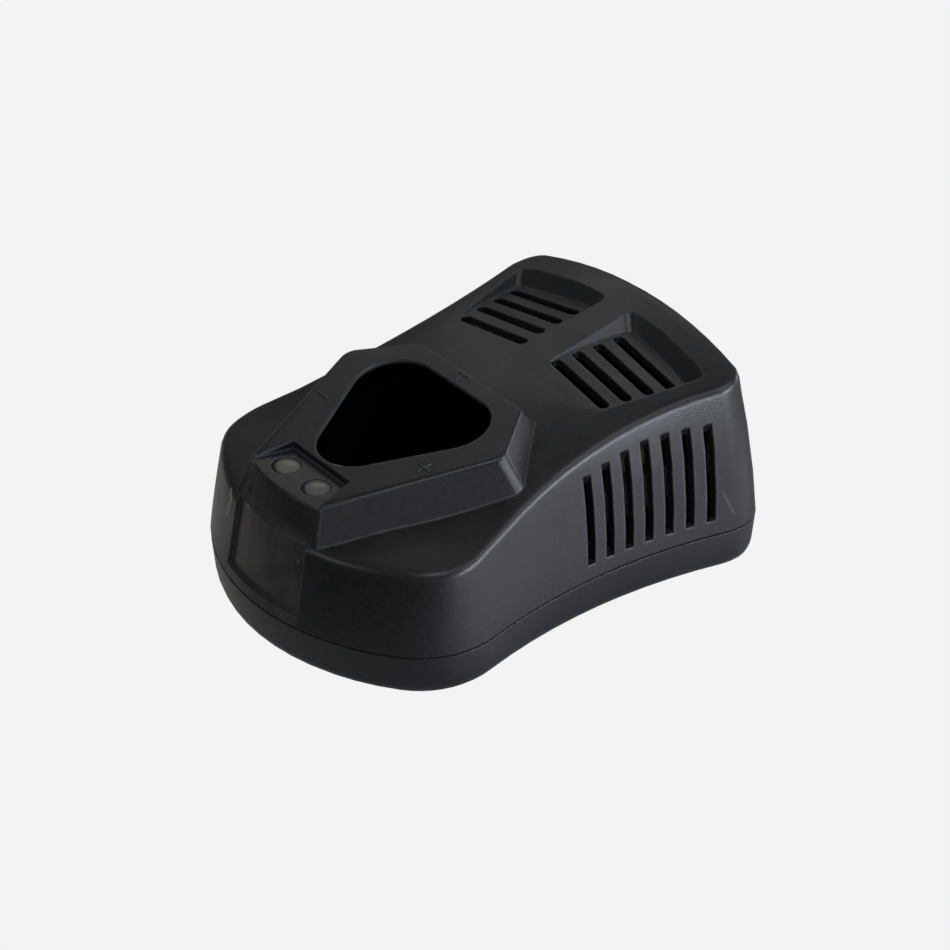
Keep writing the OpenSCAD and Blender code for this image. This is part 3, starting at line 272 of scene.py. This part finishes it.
COOL, WARM = (0.84, 0.9, 1.0), (1.0, 0.97, 0.92)
softbox("shoulder_light", (0.75, 0.6, 0.95), (0.6, 0.5), 2.4, COOL)
softbox("low_right_light", (1.0, 0.6, 0.19), (0.9, 0.09), 8.5, COOL)
softbox("low_front_light", (1.1, -0.4, 0.2), (0.6, 0.16), 0.25, COOL)
softbox("low_rear_light", (0.1, 1.3, 0.16), (0.5, 0.2), 2.4, COOL)
softbox("collar_light", (0.5, -0.14, 1.05), (0.28, 0.4), 1.8, COOL)
softbox("rear_left_light", (-0.9, 0.8, 0.95), (0.9, 0.6), 0.95, WARM)
softbox("front_light", (-0.3, -1.5, 0.9), (0.7, 0.7), 2.2, aim_height=0.02)

# %% [markdown]
# ## Effects shared by the finishes
# Moulded plastic has a spark-eroded grain, slightly rounded edges that get a painted highlight with some
# wear, and a little dust. Each effect is a node group, built once: it puts out a mask or a height, and a
# material uses it with its own values. An image texture could do this too, but a procedural one has no seams
# and no resolution limit.

# %% Node group helpers
BEVEL_SAMPLES = 6


def new_group(name, inputs, outputs):
    """A node group with the sockets that give its inputs and take its results."""
    group = bpy.data.node_groups.new(name, "ShaderNodeTree")
    for label, value in inputs.items():
        kind = "NodeSocketVector" if isinstance(value, tuple) else "NodeSocketFloat"
        socket = group.interface.new_socket(name=label, in_out="INPUT", socket_type=kind)
        socket.default_value = value
    for label in outputs:
        group.interface.new_socket(name=label, in_out="OUTPUT", socket_type="NodeSocketFloat")
    return group, group.nodes.new("NodeGroupInput").outputs, group.nodes.new("NodeGroupOutput").inputs


def effect(tree, group, **values):
    """Place a node group in a tree. A value's name is the input's name in small letters with underscores."""
    node = add(tree, "ShaderNodeGroup", node_tree=group)
    for socket in node.inputs:
        value = values.get(socket.name.lower().replace(" ", "_"))
        connect(tree, value, socket)
    return node.outputs


def vector_node(tree, operation, a, b=None):
    node = add(tree, "ShaderNodeVectorMath", operation=operation)
    connect(tree, a, node.inputs[0])
    connect(tree, b, node.inputs[1])
    return node.outputs


def scaled(tree, vector, factor):
    node = add(tree, "ShaderNodeVectorMath", operation="SCALE")
    connect(tree, vector, node.inputs[0])
    connect(tree, factor, node.inputs["Scale"])
    return node.outputs[0]


def noise(tree, place, scale, detail, roughness=0.5):
    node = add(tree, "ShaderNodeTexNoise")
    tree.links.new(place, node.inputs["Vector"])
    connect(tree, scale, node.inputs["Scale"])
    node.inputs["Detail"].default_value = detail
    node.inputs["Roughness"].default_value = roughness
    return node.outputs["Fac"]


# %% [markdown]
# ## Grain
# The mould is spark-eroded, so the plastic has a fine pebbled skin. Two noises of different size, added
# together, give its height. Real displacement would need millions of faces for pebbles of a third of a
# millimetre, so this height only turns the shading normal, through a Bump node in each material.

# %% Grain: a height between 0 and 1, from grain size in millimetres
FINE_SHARE = 0.7
COARSE_SCALE = 0.3
FINE_DETAIL, COARSE_DETAIL = 2.0, 1.0

tree, given, result = new_group("grain", {"Size mm": 0.25}, ["Height"])
place = object_place(tree)
scale = math_node(tree, "DIVIDE", 1 / MM, given["Size mm"])
fine = noise(tree, place, scale, FINE_DETAIL)
coarse = noise(tree, place, product(tree, scale, COARSE_SCALE), COARSE_DETAIL)
fine, coarse = product(tree, fine, FINE_SHARE), product(tree, coarse, 1 - FINE_SHARE)
connect(tree, math_node(tree, "ADD", fine, coarse), result["Height"])
grain_group = tree
print("grain:", len(tree.nodes), "nodes")

# %% [markdown]
# ## Patches
# No moulding is the same all over: flow lines, handling and cleaning leave areas that are a little duller. A
# large, soft noise stands for them. It moves the colour and the roughness of every finish by a small amount.

# %% Patches: slow variation over the surface, between 0 and 1
MIDDLE = 0.5
SOFT_DETAIL, SOFT_ROUGHNESS = 4.0, 0.6

tree, given, result = new_group("patches", {"Size mm": 12.0, "Contrast": 1.6}, ["Mask"])
scale = math_node(tree, "DIVIDE", 1 / MM, given["Size mm"])
soft = noise(tree, object_place(tree), scale, SOFT_DETAIL, SOFT_ROUGHNESS)
spread = product(tree, math_node(tree, "SUBTRACT", soft, MIDDLE), given["Contrast"])
connect(tree, math_node(tree, "ADD", spread, MIDDLE, True), result["Mask"])
patch_group = tree
print("patches:", len(tree.nodes), "nodes")

# %% [markdown]
# ## Edge highlight and wear
# Edges and the feet of raised parts get a painted highlight with some wear: a lighter colour that stands in
# for the light their rounding catches, broken up by noise. The Bevel node finds them: where its rounded
# normal leaves the true normal, an edge is near. Painting a mask by hand would work on one model only, while
# this one follows any shape.

# %% Edge highlight and wear: 1 on edges and at the feet of raised parts, broken up by noise
# One minus the cosine of the angle between the two normals, where wear begins and where it is full
BEND = (0.003, 0.06)
# Noises as scale, detail and roughness, and the ramps that cut them
EDGE_BREAKUP, EDGE_BREAKUP_RANGE = (220.0, 4.0, 0.65), (0.25, 0.6, 0.45, 1.0)
SPARKLES, SPARKLE_RANGE = (1600.0, 2.0), (0.35, 0.6, 0.7, 1.0)

tree, given, result = new_group("edge_wear", {"Reach mm": 0.5, "Amount": 1.0}, ["Mask"])
bevel = add(tree, "ShaderNodeBevel", samples=BEVEL_SAMPLES)
connect(tree, product(tree, given["Reach mm"], MM), bevel.inputs["Radius"])
true_normal = add(tree, "ShaderNodeNewGeometry").outputs["Normal"]
facing = vector_node(tree, "DOT_PRODUCT", bevel.outputs["Normal"], true_normal)["Value"]
bent = ramp(tree, without(tree, facing), *BEND)
place = object_place(tree)
patchy = ramp(tree, noise(tree, place, *EDGE_BREAKUP), *EDGE_BREAKUP_RANGE)
sparkle = ramp(tree, noise(tree, place, *SPARKLES), *SPARKLE_RANGE)
highlighted_and_worn = product(tree, bent, given["Amount"])
mask = math_node(tree, "MULTIPLY", highlighted_and_worn, product(tree, patchy, sparkle), True)
connect(tree, mask, result["Mask"])
edge_highlight_and_wear_group = tree
print("edge wear:", len(tree.nodes), "nodes")

# %% [markdown]
# ## Scuffs
# A few knocks left pale marks on the shell. Each one is the distance to a short line, cut up by a fine noise
# so that it looks scraped and not drawn. A decal on a small plane would do as well, but it would hover over
# the curved wall.

# %% Scuff: 1 along a line from Start to End, broken up by noise
# Distance from the line, as a share of its width, where the mark begins and where it is full
SCUFF_EDGE = (1.0, 0.3)
SCRATCHES, SCRATCH_RANGE = (1100.0, 3.0), (0.22, 0.55)

inputs = {"Start": (0, 0, 0), "End": (0, 0, 0), "Width mm": 0.5}
tree, given, result = new_group("scuff", inputs, ["Mask"])
place = object_place(tree)
offset = vector_node(tree, "SUBTRACT", place, given["Start"])[0]
line = vector_node(tree, "SUBTRACT", given["End"], given["Start"])[0]
passed = vector_node(tree, "DOT_PRODUCT", offset, line)["Value"]
whole = vector_node(tree, "DOT_PRODUCT", line, line)["Value"]
along = math_node(tree, "DIVIDE", passed, whole, True)
gap = vector_node(tree, "DISTANCE", offset, scaled(tree, line, along))["Value"]
share = math_node(tree, "DIVIDE", gap, product(tree, given["Width mm"], MM))
scraped = ramp(tree, noise(tree, place, *SCRATCHES), *SCRATCH_RANGE)
connect(tree, product(tree, ramp(tree, share, *SCUFF_EDGE), scraped), result["Mask"])
scuff_group = tree
print("scuff:", len(tree.nodes), "nodes")

# %% [markdown]
# ## The mouth of the well
# The collar's top is wiped clean by the battery, the lip of the opening gets a painted highlight, and the
# wall below it gets painted shade. All three are found by height above the collar's sloping plane, and lip
# and wall also by their distance from the well's axis and by facing it. Separate materials on selected faces
# would need the faces of the imported mesh to be sorted; masks don't.

# %% Well: Throat is 1 on the opening's inner wall, Lip on its uppermost millimetre, Top on the collar's top
well_mount = next(mount for mount in frame["record"]["mounts"] if mount["name"] == "battery_well")
WELL_CENTRE, WELL_UP = Vector(well_mount["pos_m"]), Vector(well_mount["axis"])
TILT = math.atan2(-WELL_UP.y, WELL_UP.z)
MOUTH_REACH = 24.5 * MM
# Distance from the axis, times how squarely the wall faces it
FACES_AXIS = -8 * MM
# Heights above the collar's plane, where each mask begins and where it is full
THROAT_TOP = (-0.8 * MM, -1.5 * MM)
LIP_FOOT, LIP_TOP = (-1.1 * MM, -0.7 * MM), (0.0, -0.2 * MM)
COLLAR_TOP = (-1.6 * MM, -0.4 * MM)

tree, given, result = new_group("well", {}, ["Throat", "Top", "Lip"])
offset = vector_node(tree, "SUBTRACT", object_place(tree), WELL_CENTRE)[0]
height = vector_node(tree, "DOT_PRODUCT", offset, WELL_UP)["Value"]
radial = vector_node(tree, "SUBTRACT", offset, scaled(tree, WELL_UP, height))[0]
normal = add(tree, "ShaderNodeNewGeometry").outputs["Normal"]
outwards = vector_node(tree, "DOT_PRODUCT", radial, normal)["Value"]
inwards = math_node(tree, "LESS_THAN", outwards, FACES_AXIS)
distance = vector_node(tree, "LENGTH", radial)["Value"]
wall = product(tree, inwards, math_node(tree, "LESS_THAN", distance, MOUTH_REACH))
connect(tree, product(tree, wall, ramp(tree, height, *THROAT_TOP)), result["Throat"])
band = product(tree, ramp(tree, height, *LIP_FOOT), ramp(tree, height, *LIP_TOP))
connect(tree, product(tree, wall, band), result["Lip"])
connect(tree, ramp(tree, height, *COLLAR_TOP), result["Top"])
well_group = tree
print("well:", len(tree.nodes), "nodes; it leans", round(math.degrees(TILT), 2), "degrees")

# %% [markdown]
# ## Dust
# Dust settles on what looks up, in thin clouds, and a few larger specks stick everywhere. The veil follows
# the height of the surface normal, and the specks are the hearts of Voronoi cells, of which a second noise
# keeps only some.

# %% Dust: a thin veil on faces that look up, and small pale specks everywhere
# Height of the surface normal, where the veil begins and where it is full
LOOKS_UP = (0.75, 0.99)
CLOUDS, CLOUD_RANGE = (70.0, 4.0, 0.6), (0.2, 0.8)
# Cells in a metre, the size of their hearts as a share of a cell, and the noise that keeps some
SPECK_CELLS, HEART = 420.0, (0.16, 0.05)
KEPT_SPECKS, KEPT_RANGE = (300.0, 1.0), (0.62, 0.72)

tree, given, result = new_group("dust", {"Veil": 1.0, "Specks": 1.0}, ["Mask"])
place = object_place(tree)
upwards = split(tree, add(tree, "ShaderNodeNewGeometry").outputs["Normal"])["Z"]
clouds = ramp(tree, noise(tree, place, *CLOUDS), *CLOUD_RANGE)
veil = product(tree, ramp(tree, upwards, *LOOKS_UP), clouds)
cells = add(tree, "ShaderNodeTexVoronoi", feature="F1")
connect(tree, place, cells.inputs["Vector"])
connect(tree, SPECK_CELLS, cells.inputs["Scale"])
hearts = ramp(tree, cells.outputs["Distance"], *HEART)
speck = product(tree, hearts, ramp(tree, noise(tree, place, *KEPT_SPECKS), *KEPT_RANGE))
veil, speck = product(tree, veil, given["Veil"]), product(tree, speck, given["Specks"])
connect(tree, math_node(tree, "ADD", veil, speck, True), result["Mask"])
dust_group = tree
print("dust:", len(tree.nodes), "nodes")

# %% [markdown]
# ## Finishes
# Each material slot of the record has one finish. They share a recipe: a base colour that shifts a little in
# patches, a roughness that follows the patches, a fine bump, and edges that catch the light because a Bevel
# node rounds them. Real fillets would need far more faces; the rounded normal reads the same at this size.

# %% Finish recipe
PATCH_ROUGHNESS = 0.16


def finish_of(
    name, colour, roughness, grain_mm=0.3, grain_depth=0.01, round_mm=0.3, shift=0.25,
    patch_mm=14.0, metallic=0.0, specular=0.5, extra=None,
):
    """A finish. Where given, extra takes tree and colour and returns colour, added roughness and metal."""
    material = bpy.data.materials.new(name)
    material.use_nodes = True
    tree = material.node_tree
    shader = tree.nodes["Principled BSDF"]
    shader.inputs["Metallic"].default_value = metallic
    shader.inputs["Specular IOR Level"].default_value = specular

    patches = effect(tree, patch_group, size_mm=patch_mm)["Mask"]
    dark, light = (tuple(min(1, c * (1 + s)) for c in colour) for s in (-shift, shift))
    tone = mix_colour(tree, patches, dark, light)
    rough = product(tree, patches, PATCH_ROUGHNESS)
    rough = math_node(tree, "ADD", rough, roughness - PATCH_ROUGHNESS / 2)
    if extra:
        tone, matt, metal = extra(tree, tone)
        rough = math_node(tree, "ADD", rough, matt, True)
        connect(tree, metal, shader.inputs["Metallic"])
    tree.links.new(tone, shader.inputs["Base Color"])
    tree.links.new(rough, shader.inputs["Roughness"])

    bump = add(tree, "ShaderNodeBump")
    bump.inputs["Strength"].default_value = 1.0
    bump.inputs["Distance"].default_value = grain_depth * MM
    tree.links.new(effect(tree, grain_group, size_mm=grain_mm)["Height"], bump.inputs["Height"])
    if round_mm:
        rounded = add(tree, "ShaderNodeBevel", samples=BEVEL_SAMPLES)
        rounded.inputs["Radius"].default_value = round_mm * MM
        tree.links.new(rounded.outputs["Normal"], bump.inputs["Normal"])
    tree.links.new(bump.outputs["Normal"], shader.inputs["Normal"])
    return material


# %% [markdown]
# ## Traces of use, painted highlight and painted shade on the housing
# The housing shows the most: lighter patches on the sunk front panel, dust on the roof, pale flecks in the
# grain, a painted highlight with some wear on edges and the well's lip, a few scuffs and painted shade in the
# mouth of the well. It is the common recipe with one more function, which lays these over the colour one by
# one, so the other finishes stay simple.

# %% What only the shells have
# Lighter tone of patches on the front panel, and the colours of dust and pale flecks
PANEL_PATCH_TONE, DUST, FLECK = (0.045, 0.045, 0.044), (0.045, 0.045, 0.046), (0.04, 0.04, 0.043)
# Painted highlight colour of edges and lip, with some wear; colour of scuffs; painted shade of the throat
HIGHLIGHT_AND_WEAR_COLOUR, SCRAPED, SHADE = (0.09, 0.092, 0.098), (0.3, 0.3, 0.29), (0.001, 0.0012, 0.0013)
# Each pair says where a mask begins and where it is full. First half the width of the sunk front panel,
# without and with the strips beside it, then the front wall's place along Y, the panel's lower and upper
# edge, and the height above the seam from which edges get the painted highlight
PANEL_SIDE, STRIP_SIDE = (14.6 * MM, 14.3 * MM), (17.5 * MM, 16.5 * MM)
FRONT_WALL = (-55.0 * MM, -56.5 * MM)
FRONT_FOOT, FRONT_HEAD = (11.2 * MM, 13.5 * MM), (36.0 * MM, 33.5 * MM)
ABOVE_SEAM = (13.5 * MM, 16.0 * MM)
# Noise as scale, detail and roughness, and the ramp that cuts it
PANEL_PATCH_NOISE, PANEL_PATCH_RANGE = (130.0, 5.0, 0.62), (0.36, 0.66, 0.45, 0.95)
FLECK_SIZE_MM, FLECK_RANGE = 0.32, (0.45, 0.68)
HIGHLIGHT_AND_WEAR_REACH_MM = 1.1
# Strength of each trace and of each painted highlight
DUST_VEIL, SPECKS, FLECKS, HIGHLIGHT_AND_WEAR_AMOUNT, STRIP_LOSS, LIP_HIGHLIGHT = 0.5, 0.6, 0.35, 0.8, 0.6, 0.9
# Added roughness and metal that go with the throat's painted shade
THROAT_MATT, THROAT_METAL = 0.4, 0.92
# Start and end in millimetres, width in millimetres, strength
SCUFFS = [
    ((45.8, 43.5, 23.5), (47.05, 46.1, 17.3), 0.6, 0.16),
    ((-18.2, -56.8, 32.0), (-16.8, -57.8, 30.0), 0.7, 1.0),
    ((-17.8, -57.8, 28.6), (-18.3, -58.2, 25.6), 0.5, 0.9),
    ((-9.3, -57.9, 33.0), (-9.25, -58.0, 31.9), 0.35, 0.9),
    ((2.2, -58.8, 24.4), (3.4, -58.9, 23.2), 0.5, 0.35),
    ((11.5, -58.3, 28.2), (11.6, -58.3, 27.8), 0.3, 0.6),
    ((3.6, -41.35, 44.05), (4.8, -41.0, 44.1), 0.5, 1.0),
    ((23.6, -54.2, 26.2), (24.3, -54.0, 25.6), 0.3, 0.3),
]


def lighter_panel_patches(tree, panel):
    """Lighter patches on the sunk front panel."""
    panel_patches = ramp(tree, noise(tree, object_place(tree), *PANEL_PATCH_NOISE), *PANEL_PATCH_RANGE)
    return product(tree, panel, panel_patches)


def edge_highlights_and_wear(tree, height, shy, lip):
    """Painted highlight with some wear on edges above the seam, fainter beside the front panel, and painted
    highlight on the lip of the well.
    """
    highlighted_and_worn = effect(tree, edge_highlight_and_wear_group, reach_mm=HIGHLIGHT_AND_WEAR_REACH_MM, amount=HIGHLIGHT_AND_WEAR_AMOUNT)["Mask"]
    edges = product(tree, highlighted_and_worn, ramp(tree, height, *ABOVE_SEAM), shy)
    return math_node(tree, "MAXIMUM", edges, product(tree, lip, LIP_HIGHLIGHT))


def scuffed(tree, colour):
    for start, end, width, strength in SCUFFS:
        start, end = Vector(start) * MM, Vector(end) * MM
        mask = effect(tree, scuff_group, start=start, end=end, width_mm=width)["Mask"]
        colour = mix_colour(tree, product(tree, mask, strength), colour, SCRAPED)
    return colour


def shell_extra(tree, colour):
    place = split(tree, object_place(tree))
    aside = math_node(tree, "ABSOLUTE", place["X"])
    front = product(tree, ramp(tree, place["Y"], *FRONT_WALL), ramp(tree, place["Z"], *FRONT_HEAD))
    front = product(tree, front, ramp(tree, place["Z"], *FRONT_FOOT))
    panel = product(tree, ramp(tree, aside, *PANEL_SIDE), front)
    beside = product(tree, ramp(tree, aside, *STRIP_SIDE), front, STRIP_LOSS)
    well = effect(tree, well_group)
    dust = effect(tree, dust_group, specks=SPECKS)["Mask"]
    veil = product(tree, dust, without(tree, well["Top"]), DUST_VEIL)
    grain = effect(tree, grain_group, size_mm=FLECK_SIZE_MM)["Height"]
    fleck = product(tree, ramp(tree, grain, *FLECK_RANGE), FLECKS)
    rim = edge_highlights_and_wear(tree, place["Z"], without(tree, beside), well["Lip"])

    colour = mix_colour(tree, lighter_panel_patches(tree, panel), colour, PANEL_PATCH_TONE)
    colour = mix_colour(tree, veil, colour, DUST)
    colour = mix_colour(tree, fleck, colour, FLECK)
    # Painted highlight, with some wear, on edges and on the well's lip
    colour = mix_colour(tree, rim, colour, HIGHLIGHT_AND_WEAR_COLOUR)
    colour = scuffed(tree, colour)
    # Painted shade in the throat: a near-black colour, and a near-black metal that mirrors almost nothing, so
    # the throat swallows light as deep shade does.
    throat = well["Throat"]
    matt, metal = product(tree, throat, THROAT_MATT), product(tree, throat, THROAT_METAL)
    return mix_colour(tree, throat, colour, SHADE), matt, metal


# %% [markdown]
# ## The lamp lenses
# The lenses are milky plastic. Where they drop into their holes they get painted shade, more on the left,
# which the recess keeps in shade. The painted shade is a darker ring in the colour, round a point that lies
# a little to the right of the lens. A separate black ring would add a piece that isn't there.

# %% What only the lenses have
LENS_SHADE = (0.012, 0.012, 0.011)
SHADE_SHIFT = 0.8 * MM
SHADE_RING = (2.6 * MM, 3.5 * MM)
SHADE_MATT = 0.2


def corners_of(piece):
    """The lowest and the highest corner of a piece, in metres, from its points."""
    places = [point.co for point in piece.data.vertices]
    return (Vector([edge(place[axis] for place in places) for axis in range(3)]) for edge in (min, max))


low, high = corners_of(nodes["status_lens"])
RIGHT_LENS = (low + high) / 2
print("right lens at", [round(v / MM, 2) for v in RIGHT_LENS], "mm")


def lens_extra(tree, colour):
    """Painted shade: a darker rim round each lens, wider on its left."""
    place = split(tree, object_place(tree))
    on_right = math_node(tree, "GREATER_THAN", place["X"], 0.0)
    middle = product(tree, on_right, 2 * RIGHT_LENS.x)
    middle = math_node(tree, "ADD", middle, SHADE_SHIFT - RIGHT_LENS.x)
    side = math_node(tree, "SUBTRACT", place["X"], middle)
    depth = math_node(tree, "SUBTRACT", place["Y"], RIGHT_LENS.y)
    squares = math_node(tree, "ADD", product(tree, side, side), product(tree, depth, depth))
    rim = ramp(tree, math_node(tree, "SQRT", squares), *SHADE_RING)
    return mix_colour(tree, rim, colour, LENS_SHADE), product(tree, rim, SHADE_MATT), None


# %% [markdown]
# ## One finish for each piece
# The same recipe makes every other finish: contact strip, board, wires, tape, rubber and plated steel differ
# in colour, roughness, metal and grain. Most of them are only glimpsed through the vents, but the housing
# can be opened.

# %% One finish for each slot
# Name, colour, roughness, then grain size, grain depth and edge radius in millimetres, colour shift and
# patch size in millimetres
FINISHES = {
    "housing": finish_of(
        "matt_black_shell", (0.0115, 0.0117, 0.0125), 0.33, 0.42, 0.042, 0.6, 0.12, 22.0,
        extra=shell_extra,
    ),
    # Painted shade: the liner is far darker and less shiny than the shell, so the deep well looks black
    "liner": finish_of("black_moulding", (0.002, 0.0022, 0.0024), 0.5, 0.35, specular=0.12),
    "contact_metal": finish_of("contact_strip", (0.72, 0.56, 0.3), 0.28, 0.2, 0.002, 0.1, metallic=1.0),
    "board": finish_of("solder_mask", (0.015, 0.06, 0.022), 0.4, 0.6, 0.006, 0.1, 0.3, 6.0),
    "led": finish_of("led_body", (0.75, 0.74, 0.68), 0.15, 0.5, 0.001, 0.2),
    "blue_wire": finish_of("blue_insulation", (0.01, 0.016, 0.06), 0.4, 0.3, 0.003, 0),
    "red_wire": finish_of("red_insulation", (0.09, 0.008, 0.006), 0.4, 0.3, 0.003, 0),
    "sheet": finish_of("insulating_film", (0.6, 0.62, 0.52), 0.3, 0.8, 0.004, 0),
    "ferrite": finish_of("ferrite_block", (0.03, 0.03, 0.032), 0.45, 0.15, 0.01, 0.25),
    "dark_part": finish_of("epoxy_package", (0.012, 0.012, 0.013), 0.5, 0.2, 0.006, 0.2),
    "tape": finish_of("yellow_tape", (0.1, 0.085, 0.012), 0.4, 0.9, 0.008),
    "capacitor_sleeve": finish_of("shrink_sleeve", (0.012, 0.022, 0.06), 0.3, 0.5, 0.004),
    "choke": finish_of("enamelled_copper", (0.4, 0.13, 0.04), 0.3, 0.4, 0.01, 0.2, metallic=0.6),
    "box_capacitor": finish_of("potted_box", (0.1, 0.075, 0.02), 0.4, 0.4, 0.005),
    "sink_metal": finish_of("drawn_aluminium", (0.6, 0.61, 0.63), 0.35, 0.2, 0.003, 0.15, metallic=1.0),
    "bright_metal": finish_of("zinc_plate", (0.55, 0.56, 0.57), 0.3, 0.15, 0.003, 0.1, metallic=1.0),
    "foot_rubber": finish_of("foot_rubber", (0.02, 0.02, 0.021), 0.75, 0.3, 0.015),
    "lens": finish_of(
        "milky_lens", (0.175, 0.165, 0.14), 0.22, 0.4, 0.002, 0.15, 0.15, 3.0, extra=lens_extra,
    ),
}
slot_of = {part["node"]: part["material_slot"] for part in frame["record"]["subparts"]}
for node, piece in nodes.items():
    for place in piece.material_slots:
        place.material = FINISHES[slot_of[node]]
print("finishes:", len(FINISHES), "on", len(nodes), "pieces")

# %% [markdown]
# ## The shells
# The two shells carry the look of the whole object, so their shading has to be clean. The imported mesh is
# loose triangles. A copy is merged, its sharp edges are marked by angle, and a Weighted Normal modifier lets
# the large faces decide how the slim ones beside a cut are shaded. Subdivision would round the cuts off
# instead.

# %% Refine the shells
MERGE_DISTANCE = 0.01 * MM
SHELL_SHARP_ANGLE = math.radians(32)
FACE_WEIGHT = 60


def only(piece):
    bpy.ops.object.select_all(action="DESELECT")
    piece.select_set(True)
    bpy.context.view_layer.objects.active = piece


def refined(node, name):
    """A cleanly shaded copy of a node, which takes the node's place."""
    piece = nodes[node].copy()
    piece.data = nodes[node].data.copy()
    piece.name = name
    piece.data.name = name
    piece.parent = None
    piece.matrix_world = Matrix.Identity(4)
    bpy.context.scene.collection.objects.link(piece)
    only(piece)
    bpy.ops.object.mode_set(mode="EDIT")
    bpy.ops.mesh.select_all(action="SELECT")
    bpy.ops.mesh.remove_doubles(threshold=MERGE_DISTANCE)
    bpy.ops.mesh.customdata_custom_splitnormals_clear()
    bpy.ops.object.mode_set(mode="OBJECT")
    bpy.ops.object.shade_smooth_by_angle(angle=SHELL_SHARP_ANGLE)
    weighted = piece.modifiers.new("weighted", "WEIGHTED_NORMAL")
    weighted.keep_sharp = True
    weighted.weight = FACE_WEIGHT
    bpy.ops.object.modifier_apply(modifier=weighted.name)
    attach(piece, "charger")
    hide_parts(node)
    print(name, len(piece.data.vertices), "points,", len(piece.data.polygons), "faces")


refined("top_shell", "top_shell_skin")
refined("base_shell", "base_shell_skin")

# %% [markdown]
# ## Terminal marks
# The collar carries three raised marks, one at each contact: minus, T for temperature, plus. They are part
# of the mould, so they are modelled and not painted. Each one starts as a small block; its side faces are
# pulled out into arms with Extrude, the edges of its top are bevelled, and the mark is laid on the collar's
# slope. A Text object turned into a mesh would be quicker, but its letters have font shapes and no bevel of
# their own.

# %% Helpers for the marks
STROKE, MARK_HEIGHT, MARK_BEVEL = 0.55 * MM, 0.44 * MM, 0.09 * MM
MARK_SHARP_ANGLE = math.radians(30)
LEFT, RIGHT, FORWARD, BACKWARD, UP = (-1, 0, 0), (1, 0, 0), (0, -1, 0), (0, 1, 0), (0, 0, 1)


def pick_faces(piece, direction, reach=1.0):
    """Select the faces that look along a direction and lie within reach of the line through the middle."""
    bpy.ops.object.mode_set(mode="OBJECT")
    mesh = piece.data
    for part in (mesh.vertices, mesh.edges, mesh.polygons):
        part.foreach_set("select", [False] * len(part))
    axis = Vector(direction)
    for face in mesh.polygons:
        aside = (face.center - axis * face.center.dot(axis)).length
        face.select = face.normal.dot(axis) > 0.99 and aside < reach
    bpy.ops.object.mode_set(mode="EDIT")
    bpy.ops.mesh.select_mode(type="FACE")


def lay_on_collar(x, y):
    """Turn the whole edited mesh to the collar's slope and move it there, in metres."""
    bpy.ops.mesh.select_all(action="SELECT")
    bpy.ops.transform.rotate(value=-TILT, orient_axis="X", center_override=(0, 0, 0))
    surface = WELL_CENTRE.z + math.tan(TILT) * (y - WELL_CENTRE.y)
    bpy.ops.transform.translate(value=(x, y, surface))


# %% [markdown]
# ## Modelling a mark
# One function makes all three, because they differ only in place and arms. The block is half sunk in the
# collar, so its top stands out by half its height. Boolean union with the collar would be closer to one
# moulding, but it would cut the clean shell into slivers.

# %% Raised marks
def raised_mark(name, x_mm, y_mm, arms):
    bpy.ops.mesh.primitive_cube_add(size=1, location=(0, 0, 0))
    piece = bpy.context.object
    piece.name = name
    piece.data.name = name
    bpy.ops.object.mode_set(mode="EDIT")
    bpy.ops.mesh.select_all(action="SELECT")
    bpy.ops.transform.resize(value=(STROKE, STROKE, MARK_HEIGHT))
    for direction, length in arms:
        pick_faces(piece, direction, STROKE / 2)
        bpy.ops.mesh.extrude_region_move(TRANSFORM_OT_translate={"value": Vector(direction) * length * MM})
    pick_faces(piece, UP)
    bpy.ops.mesh.bevel(offset=MARK_BEVEL, segments=2, affect="EDGES")
    lay_on_collar(x_mm * MM, y_mm * MM)
    bpy.ops.object.mode_set(mode="OBJECT")
    piece.data.materials.append(FINISHES["housing"])
    bpy.ops.object.shade_smooth_by_angle(angle=MARK_SHARP_ANGLE)
    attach(piece, "charger")
    print(name, "corners in mm:", [[round(v / MM, 2) for v in corner] for corner in corners_of(piece)])


raised_mark("minus_mark", -20.6, -27.7, [(LEFT, 1.6), (RIGHT, 1.6)])
raised_mark("sensor_mark", -1.0, 0.2, [(FORWARD, 2.6), (LEFT, 1.7), (RIGHT, 1.7)])
raised_mark("plus_mark", 20.26, -28.19, [(LEFT, 1.8), (RIGHT, 1.8), (FORWARD, 1.8), (BACKWARD, 1.8)])
